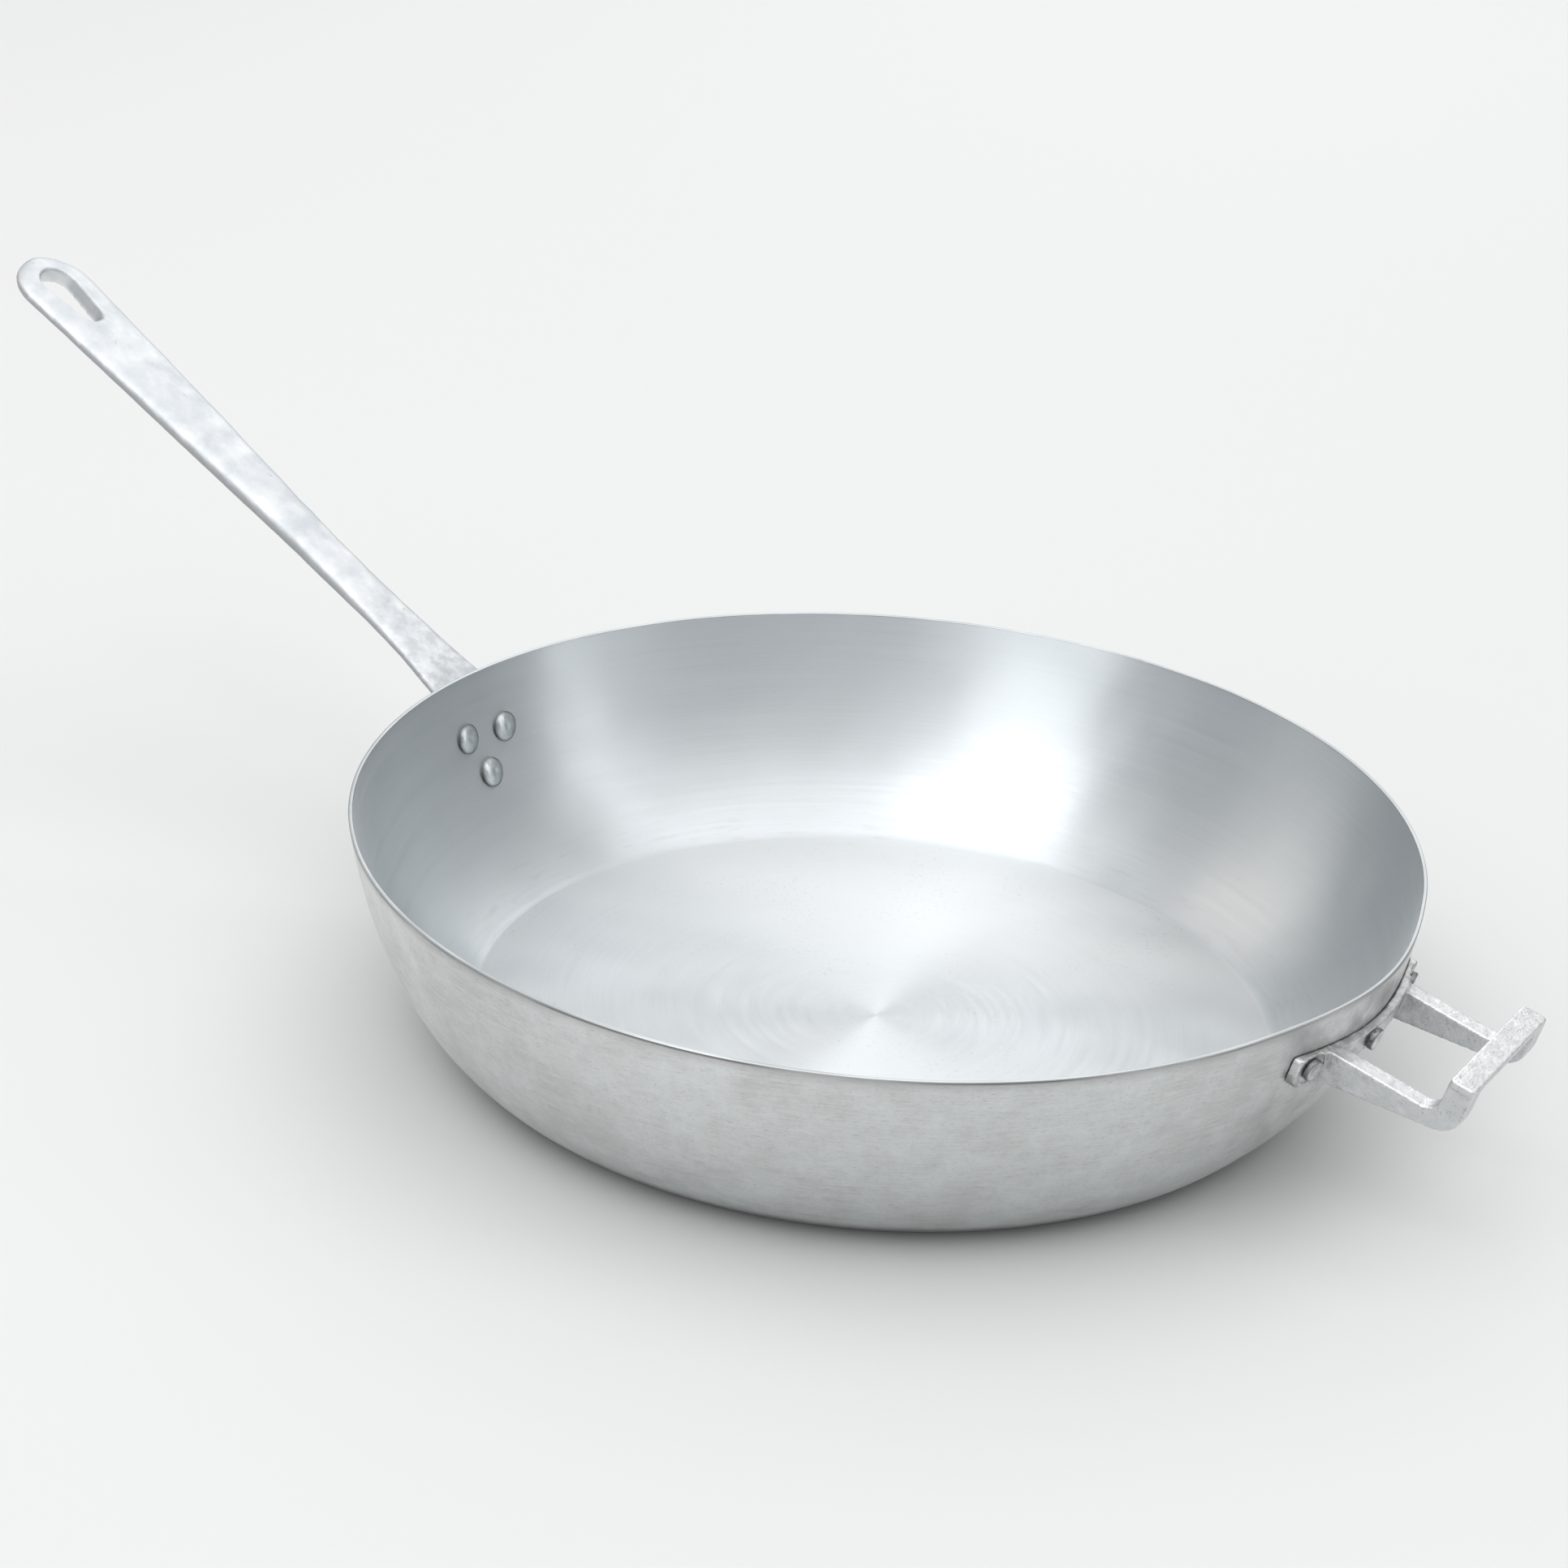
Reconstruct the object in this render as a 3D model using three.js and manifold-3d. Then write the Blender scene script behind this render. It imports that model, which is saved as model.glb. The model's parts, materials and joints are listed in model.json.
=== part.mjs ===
import * as THREE from 'three';
import { mergeVertices } from 'three/addons/utils/BufferGeometryUtils.js';
import Module from 'manifold-3d';

const wasm = await Module();
wasm.setup();

// A round frying pan with a long handle and a short helper handle, each held by three rivets.
// Sizes are in millimetres and angles in degrees. The pan stands on its underside at z = 0,
// and the long handle leaves it along -X.

// Pan body
const rimRadius = 225;
const panHeight = 95;
const wallSpread = 49.5; // rim radius less base radius
const bellyInset = 12.8; // rim radius less the radius where the wall's two end slopes cross
const bellyHeight = 25; // height of that crossing
const rimThickness = 2.5;
const bellyThickness = 3.2;
const heelWidth = 5.5; // base radius less floor radius
const floorThickness = 5.4; // at the crease round the floor
const floorDish = 2; // how much lower the middle of the floor is
const wallSides = 96;
const wallSteps = 8;

// The wall is drawn out a little where the helper handle is riveted on
const swellDepth = 4.1;
const swellReach = 80;

// Rivets and fits
const clearance = 0.3;
const shankDiameter = 6.4;
const headDiameter = 13.4;
const headHeight = 3;
const headEdge = 1;
const dimpleDiameter = 4;
const dimpleDepth = 0.5;
const tailDiameter = 9.6;
const tailHeight = 2.5;
const tailChamfer = 0.7;
const rivetSides = 16;
const domeSteps = 4;
const overrun = 20; // how far cuts and blanks run past the outside of the wall

// Long handle
const handleTurn = 180;
const handleDrop = 10; // rim down to where the bar's top meets the wall
const handleRise = 27.4;
const handleReach = 302.5; // wall to tip, along the bar's top
const handleArch = 1.7;
const rootHalfWidth = 17.6;
const rootThickness = 6;
const flarePlace = 41; // along the bar, where the root's flare ends
const flareHalfWidth = 13;
const flareThickness = 7;
const waistPlace = 100; // along the bar, its narrowest place
const waistHalfWidth = 11.6;
const barThickness = 9.8;
const eyeRadius = 20;
const eyeThickness = 8.2;
const eyeBorder = 10; // metal between the hanging hole and the tip
const holeWideRadius = 9;
const holeNarrowRadius = 6;
const holeCentres = 22; // between the centres of the hole's two round ends
const edgeSquareness = 3.4; // 2 would make the bar's section an ellipse
const barSides = 20;
const barSteps = 20;
const eyeSteps = 7;
const eyeSpan = 84; // degrees round the tip, from the eye's widest place

// Long handle's pad
const padDrop = 36; // rim down to half way between the two rivet rows
const padThickness = 6;
const padRivetSpacing = 24;
const padRowSpacing = 18.8;
const lowRivetShift = 2; // sideways, from the middle of the pad
const rivetLand = 10; // metal round each rivet's centre
const padCorner = 5;

// Helper handle
const helperTurn = 3.8;
const helperSkew = 1.4; // arms and grip, from square to the wall
const helperDrop = 22; // rim down to the helper's rivets
const helperRivetSpread = 46; // helper's middle to each outer rivet, round the wall
const middleRivetShift = 6.5; // helper's middle to the middle rivet, round the wall
const flangeThickness = 4;
const flangeHalfLength = 55;
const flangeTop = 4; // above the rivets
const flangeBottom = 6.2; // below the rivets, between the arms
const lobeBottom = 10.6; // below the rivets, beyond the arms
const lobeCorner = 6;
const lobeTopCorner = 1.6;
const spotDiameter = 15;
const spotSeat = 2.8; // flange left under the outer rivets' tails
const armHalfSpan = 38.2; // to the outer faces
const armWidth = 8.4;
const armTopStep = 0.2; // flange's top down to the arms' top
const armRootHeight = 14.2;
const armEndHeight = 7.2;
const hookReach = 56; // wall to the hook's outer face
const hookThickness = 11;
const hookOuterRadius = 12.5;
const hookInnerRadius = 6.5;
const hookSag = 1; // how far the hook's outer corner is pulled up
const gripRise = 17.2; // arms' top to the grip's top
const gripThickness = 3;
const gripWidth = 11;
const gripHalfLength = 38.5;
const gripCorner = 1.8;
const edgeRound = 1.1;

// Facets
const curveSteps = 6;
const bevelSteps = 2;

const radians = THREE.MathUtils.degToRad;
const upward = new THREE.Vector3(0, 0, 1);

// Wall curves, as radius against height
const outerWall = new THREE.QuadraticBezierCurve(
  new THREE.Vector2(rimRadius - wallSpread, 0),
  new THREE.Vector2(rimRadius - bellyInset, bellyHeight),
  new THREE.Vector2(rimRadius, panHeight),
);
const bellyShift = bellyThickness * Math.SQRT1_2;
const innerWall = new THREE.QuadraticBezierCurve(
  new THREE.Vector2(rimRadius - wallSpread - heelWidth, floorThickness),
  new THREE.Vector2(rimRadius - bellyInset - bellyShift, bellyHeight + bellyShift),
  new THREE.Vector2(rimRadius - rimThickness, panHeight),
);

function heightShare(wall, height) {
  const square = wall.v0.y - 2 * wall.v1.y + wall.v2.y;
  const linear = 2 * (wall.v1.y - wall.v0.y);
  const rest = wall.v0.y - height;
  return (Math.sqrt(linear * linear - 4 * square * rest) - linear) / (2 * square);
}

function radiusAt(wall, height) {
  return wall.getPoint(heightShare(wall, height)).x;
}

function direction(turn) {
  return new THREE.Vector3(Math.cos(radians(turn)), Math.sin(radians(turn)), 0);
}

const helperHeight = panHeight - helperDrop;
const helperOut = direction(helperTurn);
const swellCentre = helperOut.clone().multiplyScalar(radiusAt(outerWall, helperHeight));
swellCentre.z = helperHeight;

function swell(point) {
  const share = 1 - point.distanceTo(swellCentre) / swellReach;
  if (share > 0) {
    point.addScaledVector(helperOut, swellDepth * share * share * (3 - 2 * share));
  }
  return point;
}

// A place on the outside of the wall, with its own directions out of, across and up the wall
function wallFrame(turn, height) {
  const share = heightShare(outerWall, height);
  const slope = outerWall.getTangent(share);
  const radial = direction(turn);
  const origin = radial.clone().multiplyScalar(outerWall.getPoint(share).x);
  origin.z = height;
  return {
    origin: swell(origin),
    out: radial.clone().multiplyScalar(slope.y).addScaledVector(upward, -slope.x),
    across: upward.clone().cross(radial),
    up: radial.clone().multiplyScalar(slope.x).addScaledVector(upward, slope.y),
    depth: (outerWall.getPoint(share).x - radiusAt(innerWall, height)) * slope.y,
  };
}

// The same place with its directions turned about the upright
function skewed(frame, turn) {
  const turnedBy = (vector) => vector.clone().applyAxisAngle(upward, radians(turn));
  return {
    origin: frame.origin,
    out: turnedBy(frame.out),
    across: turnedBy(frame.across),
    up: turnedBy(frame.up),
  };
}

function basis(frame, first, second, third) {
  return new THREE.Matrix4().makeBasis(first, second, third).setPosition(frame.origin);
}

// Shape drawn across and up the wall, with its depth outwards
function facing(frame) {
  return basis(frame, frame.across, frame.up, frame.out);
}

// Shape drawn out from and up the wall, with its depth across
function sideways(frame) {
  return basis(frame, frame.out, frame.up, frame.across.clone().negate());
}

// Shape drawn out from and across the wall, with its depth up
function flatwise(frame) {
  return basis(frame, frame.out, frame.across, frame.up);
}

// Turned profile whose axis points outwards
function turned(frame) {
  return basis(frame, frame.across, frame.out, frame.up.clone().negate());
}

function toSolid(geometry) {
  const bare = new THREE.BufferGeometry();
  bare.setAttribute('position', geometry.getAttribute('position'));
  bare.setIndex(geometry.getIndex());
  const merged = mergeVertices(bare, 1e-4);
  const source = merged.getIndex().array;
  const corners = [];
  for (let i = 0; i < source.length; i += 3) {
    const [a, b, c] = source.slice(i, i + 3);
    if (a !== b && b !== c && c !== a) {
      corners.push(a, b, c);
    }
  }
  return new wasm.Manifold(new wasm.Mesh({
    numProp: 3,
    vertProperties: new Float32Array(merged.getAttribute('position').array),
    triVerts: new Uint32Array(corners),
  }));
}

function prism(shape, from, to, matrix, bevel = 0) {
  const geometry = new THREE.ExtrudeGeometry(shape, {
    depth: to - from - 2 * bevel,
    curveSegments: curveSteps,
    bevelEnabled: bevel > 0,
    bevelThickness: bevel,
    bevelSize: bevel,
    bevelOffset: -bevel,
    bevelSegments: bevelSteps,
  });
  geometry.translate(0, 0, from + bevel);
  return toSolid(geometry.applyMatrix4(matrix));
}

function lathe(points, sides, matrix) {
  return toSolid(new THREE.LatheGeometry(points, sides).applyMatrix4(matrix));
}

function wallPoints(wall, outward) {
  const points = [];
  for (let i = 0; i <= wallSteps; i += 1) {
    const slope = wall.getTangent(i / wallSteps);
    const side = new THREE.Vector2(slope.y, -slope.x);
    points.push(wall.getPoint(i / wallSteps).addScaledVector(side, outward));
  }
  return points;
}

function roundBody(points) {
  const geometry = new THREE.LatheGeometry(points, wallSides).rotateX(Math.PI / 2);
  const places = geometry.getAttribute('position');
  const point = new THREE.Vector3();
  for (let i = 0; i < places.count; i += 1) {
    swell(point.fromBufferAttribute(places, i));
    places.setXYZ(i, point.x, point.y, point.z);
  }
  return toSolid(geometry);
}

// The pan's wall and floor, thickened on every side
function panShell(growth) {
  return roundBody([
    new THREE.Vector2(0, -growth),
    ...wallPoints(outerWall, growth),
    ...wallPoints(innerWall, -growth).reverse(),
    new THREE.Vector2(0, floorThickness - floorDish + growth),
  ]);
}

// The pan's outside filled to the rim, thickened on every side
function panPlug(growth) {
  return roundBody([
    new THREE.Vector2(0, -growth),
    ...wallPoints(outerWall, growth),
    new THREE.Vector2(0, panHeight + growth),
  ]);
}

const fittedPlug = panPlug(clearance);
const fittedShell = panShell(clearance);

// Angle taken up by a length round the outside of the wall
function angleOf(length, height) {
  return THREE.MathUtils.radToDeg(length / radiusAt(outerWall, height));
}

// Rivet places: wall frame and the thickness between the wall and the rivet's tail
function rivetPlaces() {
  const rowRise = padRowSpacing / 2 * outerWall.getTangent(heightShare(outerWall, panHeight - padDrop)).y;
  const upperHeight = panHeight - padDrop + rowRise;
  const lowerHeight = panHeight - padDrop - rowRise;
  const padAngle = angleOf(padRivetSpacing / 2, upperHeight);
  const lowAngle = angleOf(lowRivetShift, lowerHeight);
  const spread = angleOf(helperRivetSpread, helperHeight);
  const shift = angleOf(middleRivetShift, helperHeight);
  return {
    handle_rivet_left: { frame: wallFrame(handleTurn + padAngle, upperHeight), seat: padThickness },
    handle_rivet_right: { frame: wallFrame(handleTurn - padAngle, upperHeight), seat: padThickness },
    handle_rivet_low: { frame: wallFrame(handleTurn + lowAngle, lowerHeight), seat: padThickness },
    helper_rivet_left: { frame: wallFrame(helperTurn + spread, helperHeight), seat: spotSeat },
    helper_rivet_middle: { frame: wallFrame(helperTurn - shift, helperHeight), seat: flangeThickness },
    helper_rivet_right: { frame: wallFrame(helperTurn - spread, helperHeight), seat: spotSeat },
  };
}

const rivets = rivetPlaces();

function cylinder(frame, radius, from, to) {
  const points = [
    new THREE.Vector2(0, from),
    new THREE.Vector2(radius, from),
    new THREE.Vector2(radius, to),
    new THREE.Vector2(0, to),
  ];
  return lathe(points, rivetSides, turned(frame));
}

function drilled(solid) {
  let result = solid;
  for (const { frame } of Object.values(rivets)) {
    result = result.subtract(cylinder(frame, shankDiameter / 2 + clearance, -overrun, overrun));
  }
  return result;
}

function domeHead(frame) {
  const top = -frame.depth - clearance - headHeight;
  const edge = -frame.depth - clearance - headEdge;
  const points = [
    new THREE.Vector2(0, top + dimpleDepth),
    new THREE.Vector2(dimpleDiameter / 2, top),
  ];
  for (let i = 1; i <= domeSteps; i += 1) {
    const turn = i / domeSteps * Math.PI / 2;
    const reach = dimpleDiameter / 2 + (headDiameter - dimpleDiameter) / 2 * Math.sin(turn);
    points.push(new THREE.Vector2(reach, edge + (top - edge) * Math.cos(turn)));
  }
  points.push(new THREE.Vector2(headDiameter / 2, -frame.depth / 2));
  points.push(new THREE.Vector2(0, -frame.depth / 2));
  return lathe(points, rivetSides, turned(frame)).subtract(fittedShell);
}

function rivet({ frame, seat }) {
  const foot = seat + clearance;
  const end = foot + tailHeight;
  const points = [
    new THREE.Vector2(0, -frame.depth - clearance - headHeight / 2),
    new THREE.Vector2(shankDiameter / 2, -frame.depth - clearance - headHeight / 2),
    new THREE.Vector2(shankDiameter / 2, foot),
    new THREE.Vector2(tailDiameter / 2, foot),
    new THREE.Vector2(tailDiameter / 2, end - tailChamfer),
    new THREE.Vector2(tailDiameter / 2 - tailChamfer, end),
    new THREE.Vector2(0, end),
  ];
  return domeHead(frame).add(lathe(points, rivetSides, turned(frame)));
}

// The line along the bar's top, in the upright plane through the handle
const handleOut = direction(handleTurn);
const handleAcross = upward.clone().cross(handleOut);
const barAlong = handleOut.clone().multiplyScalar(Math.cos(radians(handleRise)));
barAlong.addScaledVector(upward, Math.sin(radians(handleRise)));
const barNormal = barAlong.clone().cross(handleAcross);
const barRoot = handleOut.clone().multiplyScalar(radiusAt(outerWall, panHeight - handleDrop));
barRoot.z = panHeight - handleDrop;
const eyePlace = handleReach - eyeRadius;

function barPoint(place) {
  const share = THREE.MathUtils.clamp(place / handleReach, 0, 1);
  const point = barRoot.clone().addScaledVector(barAlong, place);
  return point.addScaledVector(barNormal, handleArch * 4 * share * (1 - share));
}

// Place along the bar, half width and thickness there
function barStations() {
  const line = new THREE.CatmullRomCurve3([
    new THREE.Vector3(-overrun / 2, rootHalfWidth, rootThickness),
    new THREE.Vector3(0, rootHalfWidth, rootThickness),
    new THREE.Vector3(flarePlace, flareHalfWidth, flareThickness),
    new THREE.Vector3(waistPlace, waistHalfWidth, barThickness),
    new THREE.Vector3((waistPlace + eyePlace) / 2, (waistHalfWidth + eyeRadius) / 2, barThickness),
    new THREE.Vector3(eyePlace, eyeRadius, eyeThickness),
  ]);
  const stations = line.getPoints(barSteps);
  for (let i = 1; i <= eyeSteps; i += 1) {
    const turn = radians(eyeSpan * i / eyeSteps);
    const place = eyePlace + eyeRadius * Math.sin(turn);
    stations.push(new THREE.Vector3(place, eyeRadius * Math.cos(turn), eyeThickness));
  }
  return stations;
}

function squared(value) {
  return Math.sign(value) * Math.abs(value) ** (2 / edgeSquareness);
}

function barSolid() {
  const stations = barStations();
  const places = [];
  const corners = [];
  for (const station of stations) {
    const middle = barPoint(station.x).addScaledVector(barNormal, -station.z / 2);
    for (let i = 0; i < barSides; i += 1) {
      const turn = i / barSides * 2 * Math.PI;
      const point = middle.clone();
      point.addScaledVector(handleAcross, station.y * squared(Math.cos(turn)));
      point.addScaledVector(barNormal, station.z / 2 * squared(Math.sin(turn)));
      places.push(point.x, point.y, point.z);
    }
  }
  const last = (stations.length - 1) * barSides;
  for (let row = 0; row < last; row += barSides) {
    for (let i = 0; i < barSides; i += 1) {
      const next = (i + 1) % barSides;
      corners.push(row + i, row + next, row + barSides + next);
      corners.push(row + i, row + barSides + next, row + barSides + i);
    }
  }
  for (let i = 1; i < barSides - 1; i += 1) {
    corners.push(0, i + 1, i);
    corners.push(last, last + i, last + i + 1);
  }
  const geometry = new THREE.BufferGeometry();
  geometry.setAttribute('position', new THREE.Float32BufferAttribute(places, 3));
  geometry.setIndex(corners);
  return toSolid(geometry);
}

// Hanging hole: a drop shape whose wide end is nearer the tip
function hangingHole() {
  const wide = handleReach - eyeBorder - holeWideRadius;
  const narrow = wide - holeCentres;
  const turn = Math.acos((holeNarrowRadius - holeWideRadius) / holeCentres);
  const shape = new THREE.Shape();
  shape.absarc(wide, 0, holeWideRadius, -turn, turn, false);
  shape.absarc(narrow, 0, holeNarrowRadius, turn, 2 * Math.PI - turn, false);
  shape.closePath();
  const matrix = new THREE.Matrix4().makeBasis(barAlong, handleAcross, barNormal).setPosition(barRoot);
  return prism(shape, -2 * barThickness, barThickness, matrix);
}

// Pad outline: round below each rivet and square at the bar's root
function padShape(top) {
  const spread = padRivetSpacing / 2;
  const row = padRowSpacing / 2;
  const side = spread + rivetLand;
  const shape = new THREE.Shape();
  shape.absarc(0, -row, rivetLand, radians(225), radians(315), false);
  shape.absarc(spread, row, rivetLand, radians(-45), 0, false);
  shape.absarc(side - padCorner, top - padCorner, padCorner, 0, radians(90), false);
  shape.absarc(padCorner - side, top - padCorner, padCorner, radians(90), radians(180), false);
  shape.absarc(-spread, row, rivetLand, radians(180), radians(225), false);
  shape.closePath();
  return shape;
}

function longHandle() {
  const frame = wallFrame(handleTurn, panHeight - padDrop);
  const top = barRoot.clone().sub(frame.origin).dot(frame.up);
  const pad = prism(padShape(top), -overrun, overrun, facing(frame));
  const solid = pad.intersect(panPlug(padThickness)).add(barSolid()).subtract(hangingHole());
  return drilled(solid.subtract(fittedPlug));
}

// Flange outline: a strip with a deeper lobe beyond each arm
function flangeShape() {
  const inner = armHalfSpan - armWidth / 2;
  const shape = new THREE.Shape();
  shape.moveTo(-inner, -flangeBottom);
  shape.lineTo(inner, -flangeBottom);
  shape.lineTo(armHalfSpan, -lobeBottom);
  const end = flangeHalfLength - lobeCorner;
  shape.absarc(end, lobeCorner - lobeBottom, lobeCorner, radians(-90), 0, false);
  const high = flangeTop - lobeTopCorner;
  shape.absarc(flangeHalfLength - lobeTopCorner, high, lobeTopCorner, 0, radians(90), false);
  shape.absarc(lobeTopCorner - flangeHalfLength, high, lobeTopCorner, radians(90), radians(180), false);
  shape.absarc(-end, lobeCorner - lobeBottom, lobeCorner, radians(180), radians(270), false);
  shape.lineTo(-armHalfSpan, -lobeBottom);
  shape.closePath();
  return shape;
}

// Arm seen from the side: a blade that narrows outwards and hooks up to the grip
function armShape() {
  const top = flangeTop - armTopStep;
  const inside = hookReach - hookThickness;
  const peak = top + gripRise - gripThickness / 2;
  const bend = hookReach - hookOuterRadius;
  const low = top - armEndHeight;
  const shape = new THREE.Shape();
  shape.moveTo(-overrun, top);
  shape.lineTo(-overrun, top - armRootHeight);
  shape.lineTo(0, top - armRootHeight);
  shape.lineTo(bend, low);
  shape.quadraticCurveTo(hookReach, low + hookSag, hookReach, low + hookOuterRadius);
  shape.lineTo(hookReach, peak);
  shape.lineTo(inside, peak);
  shape.absarc(inside - hookInnerRadius, top + hookInnerRadius, hookInnerRadius, 0, radians(-90), true);
  shape.closePath();
  return shape;
}

function gripShape() {
  const far = hookReach + (gripWidth - hookThickness) / 2;
  const near = far - gripWidth;
  const end = gripHalfLength;
  const round = gripCorner;
  const shape = new THREE.Shape();
  shape.absarc(far - round, end - round, round, 0, radians(90), false);
  shape.absarc(near + round, end - round, round, radians(90), radians(180), false);
  shape.absarc(near + round, round - end, round, radians(180), radians(270), false);
  shape.absarc(far - round, round - end, round, radians(270), radians(360), false);
  shape.closePath();
  return shape;
}

function helperHandle() {
  const frame = wallFrame(helperTurn, helperHeight);
  const casting = skewed(frame, helperSkew);
  const gripTop = flangeTop - armTopStep + gripRise;
  const flange = prism(flangeShape(), -overrun, overrun, facing(frame));
  let solid = flange.intersect(panPlug(flangeThickness));
  for (const start of [-armHalfSpan, armHalfSpan - armWidth]) {
    solid = solid.add(prism(armShape(), start, start + armWidth, sideways(casting), edgeRound));
  }
  solid = solid.add(prism(gripShape(), gripTop - gripThickness, gripTop, flatwise(casting), edgeRound));
  solid = solid.subtract(fittedPlug);
  for (const place of [rivets.helper_rivet_left, rivets.helper_rivet_right]) {
    solid = solid.subtract(cylinder(place.frame, spotDiameter / 2, spotSeat, overrun));
  }
  return drilled(solid);
}

const panMetal = () => new THREE.MeshStandardMaterial({ color: 0xc6cacd, roughness: 0.34, metalness: 1 });
const castMetal = () => new THREE.MeshStandardMaterial({ color: 0xd6d9da, roughness: 0.5, metalness: 1 });
const rivetMetal = () => new THREE.MeshStandardMaterial({ color: 0xb4b9bc, roughness: 0.42, metalness: 1 });

function toMesh(name, solid, material) {
  const mesh = solid.getMesh();
  const geometry = new THREE.BufferGeometry();
  geometry.setAttribute('position', new THREE.BufferAttribute(new Float32Array(mesh.vertProperties), 3));
  geometry.setIndex(new THREE.BufferAttribute(new Uint32Array(mesh.triVerts), 1));
  geometry.computeVertexNormals();
  const result = new THREE.Mesh(geometry, material);
  result.name = name;
  return result;
}

const pan = new THREE.Group();
pan.name = 'frying_pan';
pan.add(toMesh('pan_body', drilled(panShell(0)), panMetal()));
pan.add(toMesh('long_handle', longHandle(), castMetal()));
pan.add(toMesh('helper_handle', helperHandle(), castMetal()));
for (const [name, place] of Object.entries(rivets)) {
  pan.add(toMesh(name, rivet(place), rivetMetal()));
}

export default pan;
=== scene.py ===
import json
import math
import bmesh
import bpy
from mathutils import Matrix, Vector

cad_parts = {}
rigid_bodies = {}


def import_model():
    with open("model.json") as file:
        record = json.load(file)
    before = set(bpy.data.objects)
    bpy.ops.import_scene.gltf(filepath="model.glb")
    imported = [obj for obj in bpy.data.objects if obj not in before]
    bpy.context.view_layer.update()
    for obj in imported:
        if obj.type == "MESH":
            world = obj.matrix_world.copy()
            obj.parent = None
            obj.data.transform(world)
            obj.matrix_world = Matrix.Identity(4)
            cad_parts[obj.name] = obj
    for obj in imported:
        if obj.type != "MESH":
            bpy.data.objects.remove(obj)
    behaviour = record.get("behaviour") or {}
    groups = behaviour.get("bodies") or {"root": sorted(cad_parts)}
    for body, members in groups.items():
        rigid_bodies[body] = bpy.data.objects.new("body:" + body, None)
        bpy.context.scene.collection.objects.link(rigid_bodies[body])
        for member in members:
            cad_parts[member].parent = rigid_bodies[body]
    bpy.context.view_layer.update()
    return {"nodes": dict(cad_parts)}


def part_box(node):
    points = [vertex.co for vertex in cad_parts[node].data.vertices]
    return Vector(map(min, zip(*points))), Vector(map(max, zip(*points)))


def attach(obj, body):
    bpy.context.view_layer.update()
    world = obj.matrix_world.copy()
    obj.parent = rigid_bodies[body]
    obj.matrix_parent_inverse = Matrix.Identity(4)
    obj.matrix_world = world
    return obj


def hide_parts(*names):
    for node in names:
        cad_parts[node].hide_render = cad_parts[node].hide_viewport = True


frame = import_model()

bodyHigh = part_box("pan_body")[1]
upward = Vector((0, 0, 1))
mm = 0.001
halvings = 40  # steps of the search for a height on the wall
slopeStep = 0.001  # share of the wall over which its slope is taken
samePlace = 1e-7
blockReach = 20 * mm  # how far blanks and cutters run past the wall
rodSides = 24
print("frame:", len(frame["nodes"]), "nodes")

# camera, from the ellipses of the rim and the floor in the photograph
cameraSetup = {
    "place": (0.8647, -1.3731, 0.8584),
    "right": (0.8129, 0.5790, 0.0636),
    "up": (-0.2909, 0.3090, 0.9055),
    "back": (0.5047, -0.7544, 0.4196),
    "lens": 98.4,
    "sensor": 36,
}


def makeCamera(setup):
    data = bpy.data.cameras.new("camera")
    data.lens = setup["lens"]
    data.sensor_width = setup["sensor"]
    camera = bpy.data.objects.new("camera", data)
    bpy.context.scene.collection.objects.link(camera)
    turn = Matrix((setup["right"], setup["up"], setup["back"])).transposed()
    camera.rotation_mode = "QUATERNION"
    camera.rotation_quaternion = turn.to_quaternion()
    camera.location = setup["place"]
    bpy.context.scene.camera = camera


makeCamera(cameraSetup)
print("camera placed")

# pan wall, as radius against height
pan = {
    "rimRadius": bodyHigh.y,
    "height": bodyHigh.z,
    "wallSpread": 49.5 * mm,  # rim radius less base radius
    "bellyInset": 12.8 * mm,
    "bellyHeight": 25 * mm,
    "bellyThickness": 3.2 * mm,
    "rimThickness": 1.9 * mm,
    "rimRound": 0.5 * mm,
    "rimInset": 0.1 * mm,
    "rimSteps": 5,
    "undersideShares": (0.35, 0.7),  # rings of the flat underside
    "heelLead": 1.5 * mm,
    "heelStart": 169 * mm,  # where the flat underside begins to curl up into the wall
    "heelShare": 0.07,
    "heelWidth": 5.5 * mm,
    "floorThickness": 5.4 * mm,
    "floorDish": 2 * mm,
    "pole": 0.5 * mm,
    "segments": 256,
    "wallSteps": 28,
    "heelSteps": 8,
    "floorRings": 14,
    "floorLead": 0.1,
    "plugSteps": 20,
    "smoothAngle": 35,
}
# the wall is drawn out a little where the helper handle is riveted on
bulge = {"turn": 3.8, "drop": 22 * mm, "depth": 4.1 * mm, "reach": 80 * mm}


def bend(low, middle, high, share):
    rest = 1 - share
    weights = (rest * rest, 2 * rest * share, share * share)
    return [sum(w * v for w, v in zip(weights, values)) for values in zip(low, middle, high)]


def outerWall(share):
    low = (pan["rimRadius"] - pan["wallSpread"], 0)
    middle = (pan["rimRadius"] - pan["bellyInset"], pan["bellyHeight"])
    return bend(low, middle, (pan["rimRadius"], pan["height"]), share)


def innerWall(share):
    shift = pan["bellyThickness"] * math.sqrt(0.5)  # the belly leans at 45 degrees
    low = (pan["rimRadius"] - pan["wallSpread"] - pan["heelWidth"], pan["floorThickness"])
    middle = (pan["rimRadius"] - pan["bellyInset"] - shift, pan["bellyHeight"] + shift)
    return bend(low, middle, (pan["rimRadius"] - pan["rimThickness"], pan["height"]), share)


def wallShare(wall, height):
    low, high = 0.0, 1.0
    for _ in range(halvings):
        middle = (low + high) / 2
        if wall(middle)[1] < height:
            low = middle
        else:
            high = middle
    return low


def wallSlope(wall, share):
    r0, z0 = wall(share - slopeStep)
    r1, z1 = wall(share + slopeStep)
    size = math.hypot(r1 - r0, z1 - z0)
    return (r1 - r0) / size, (z1 - z0) / size


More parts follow.
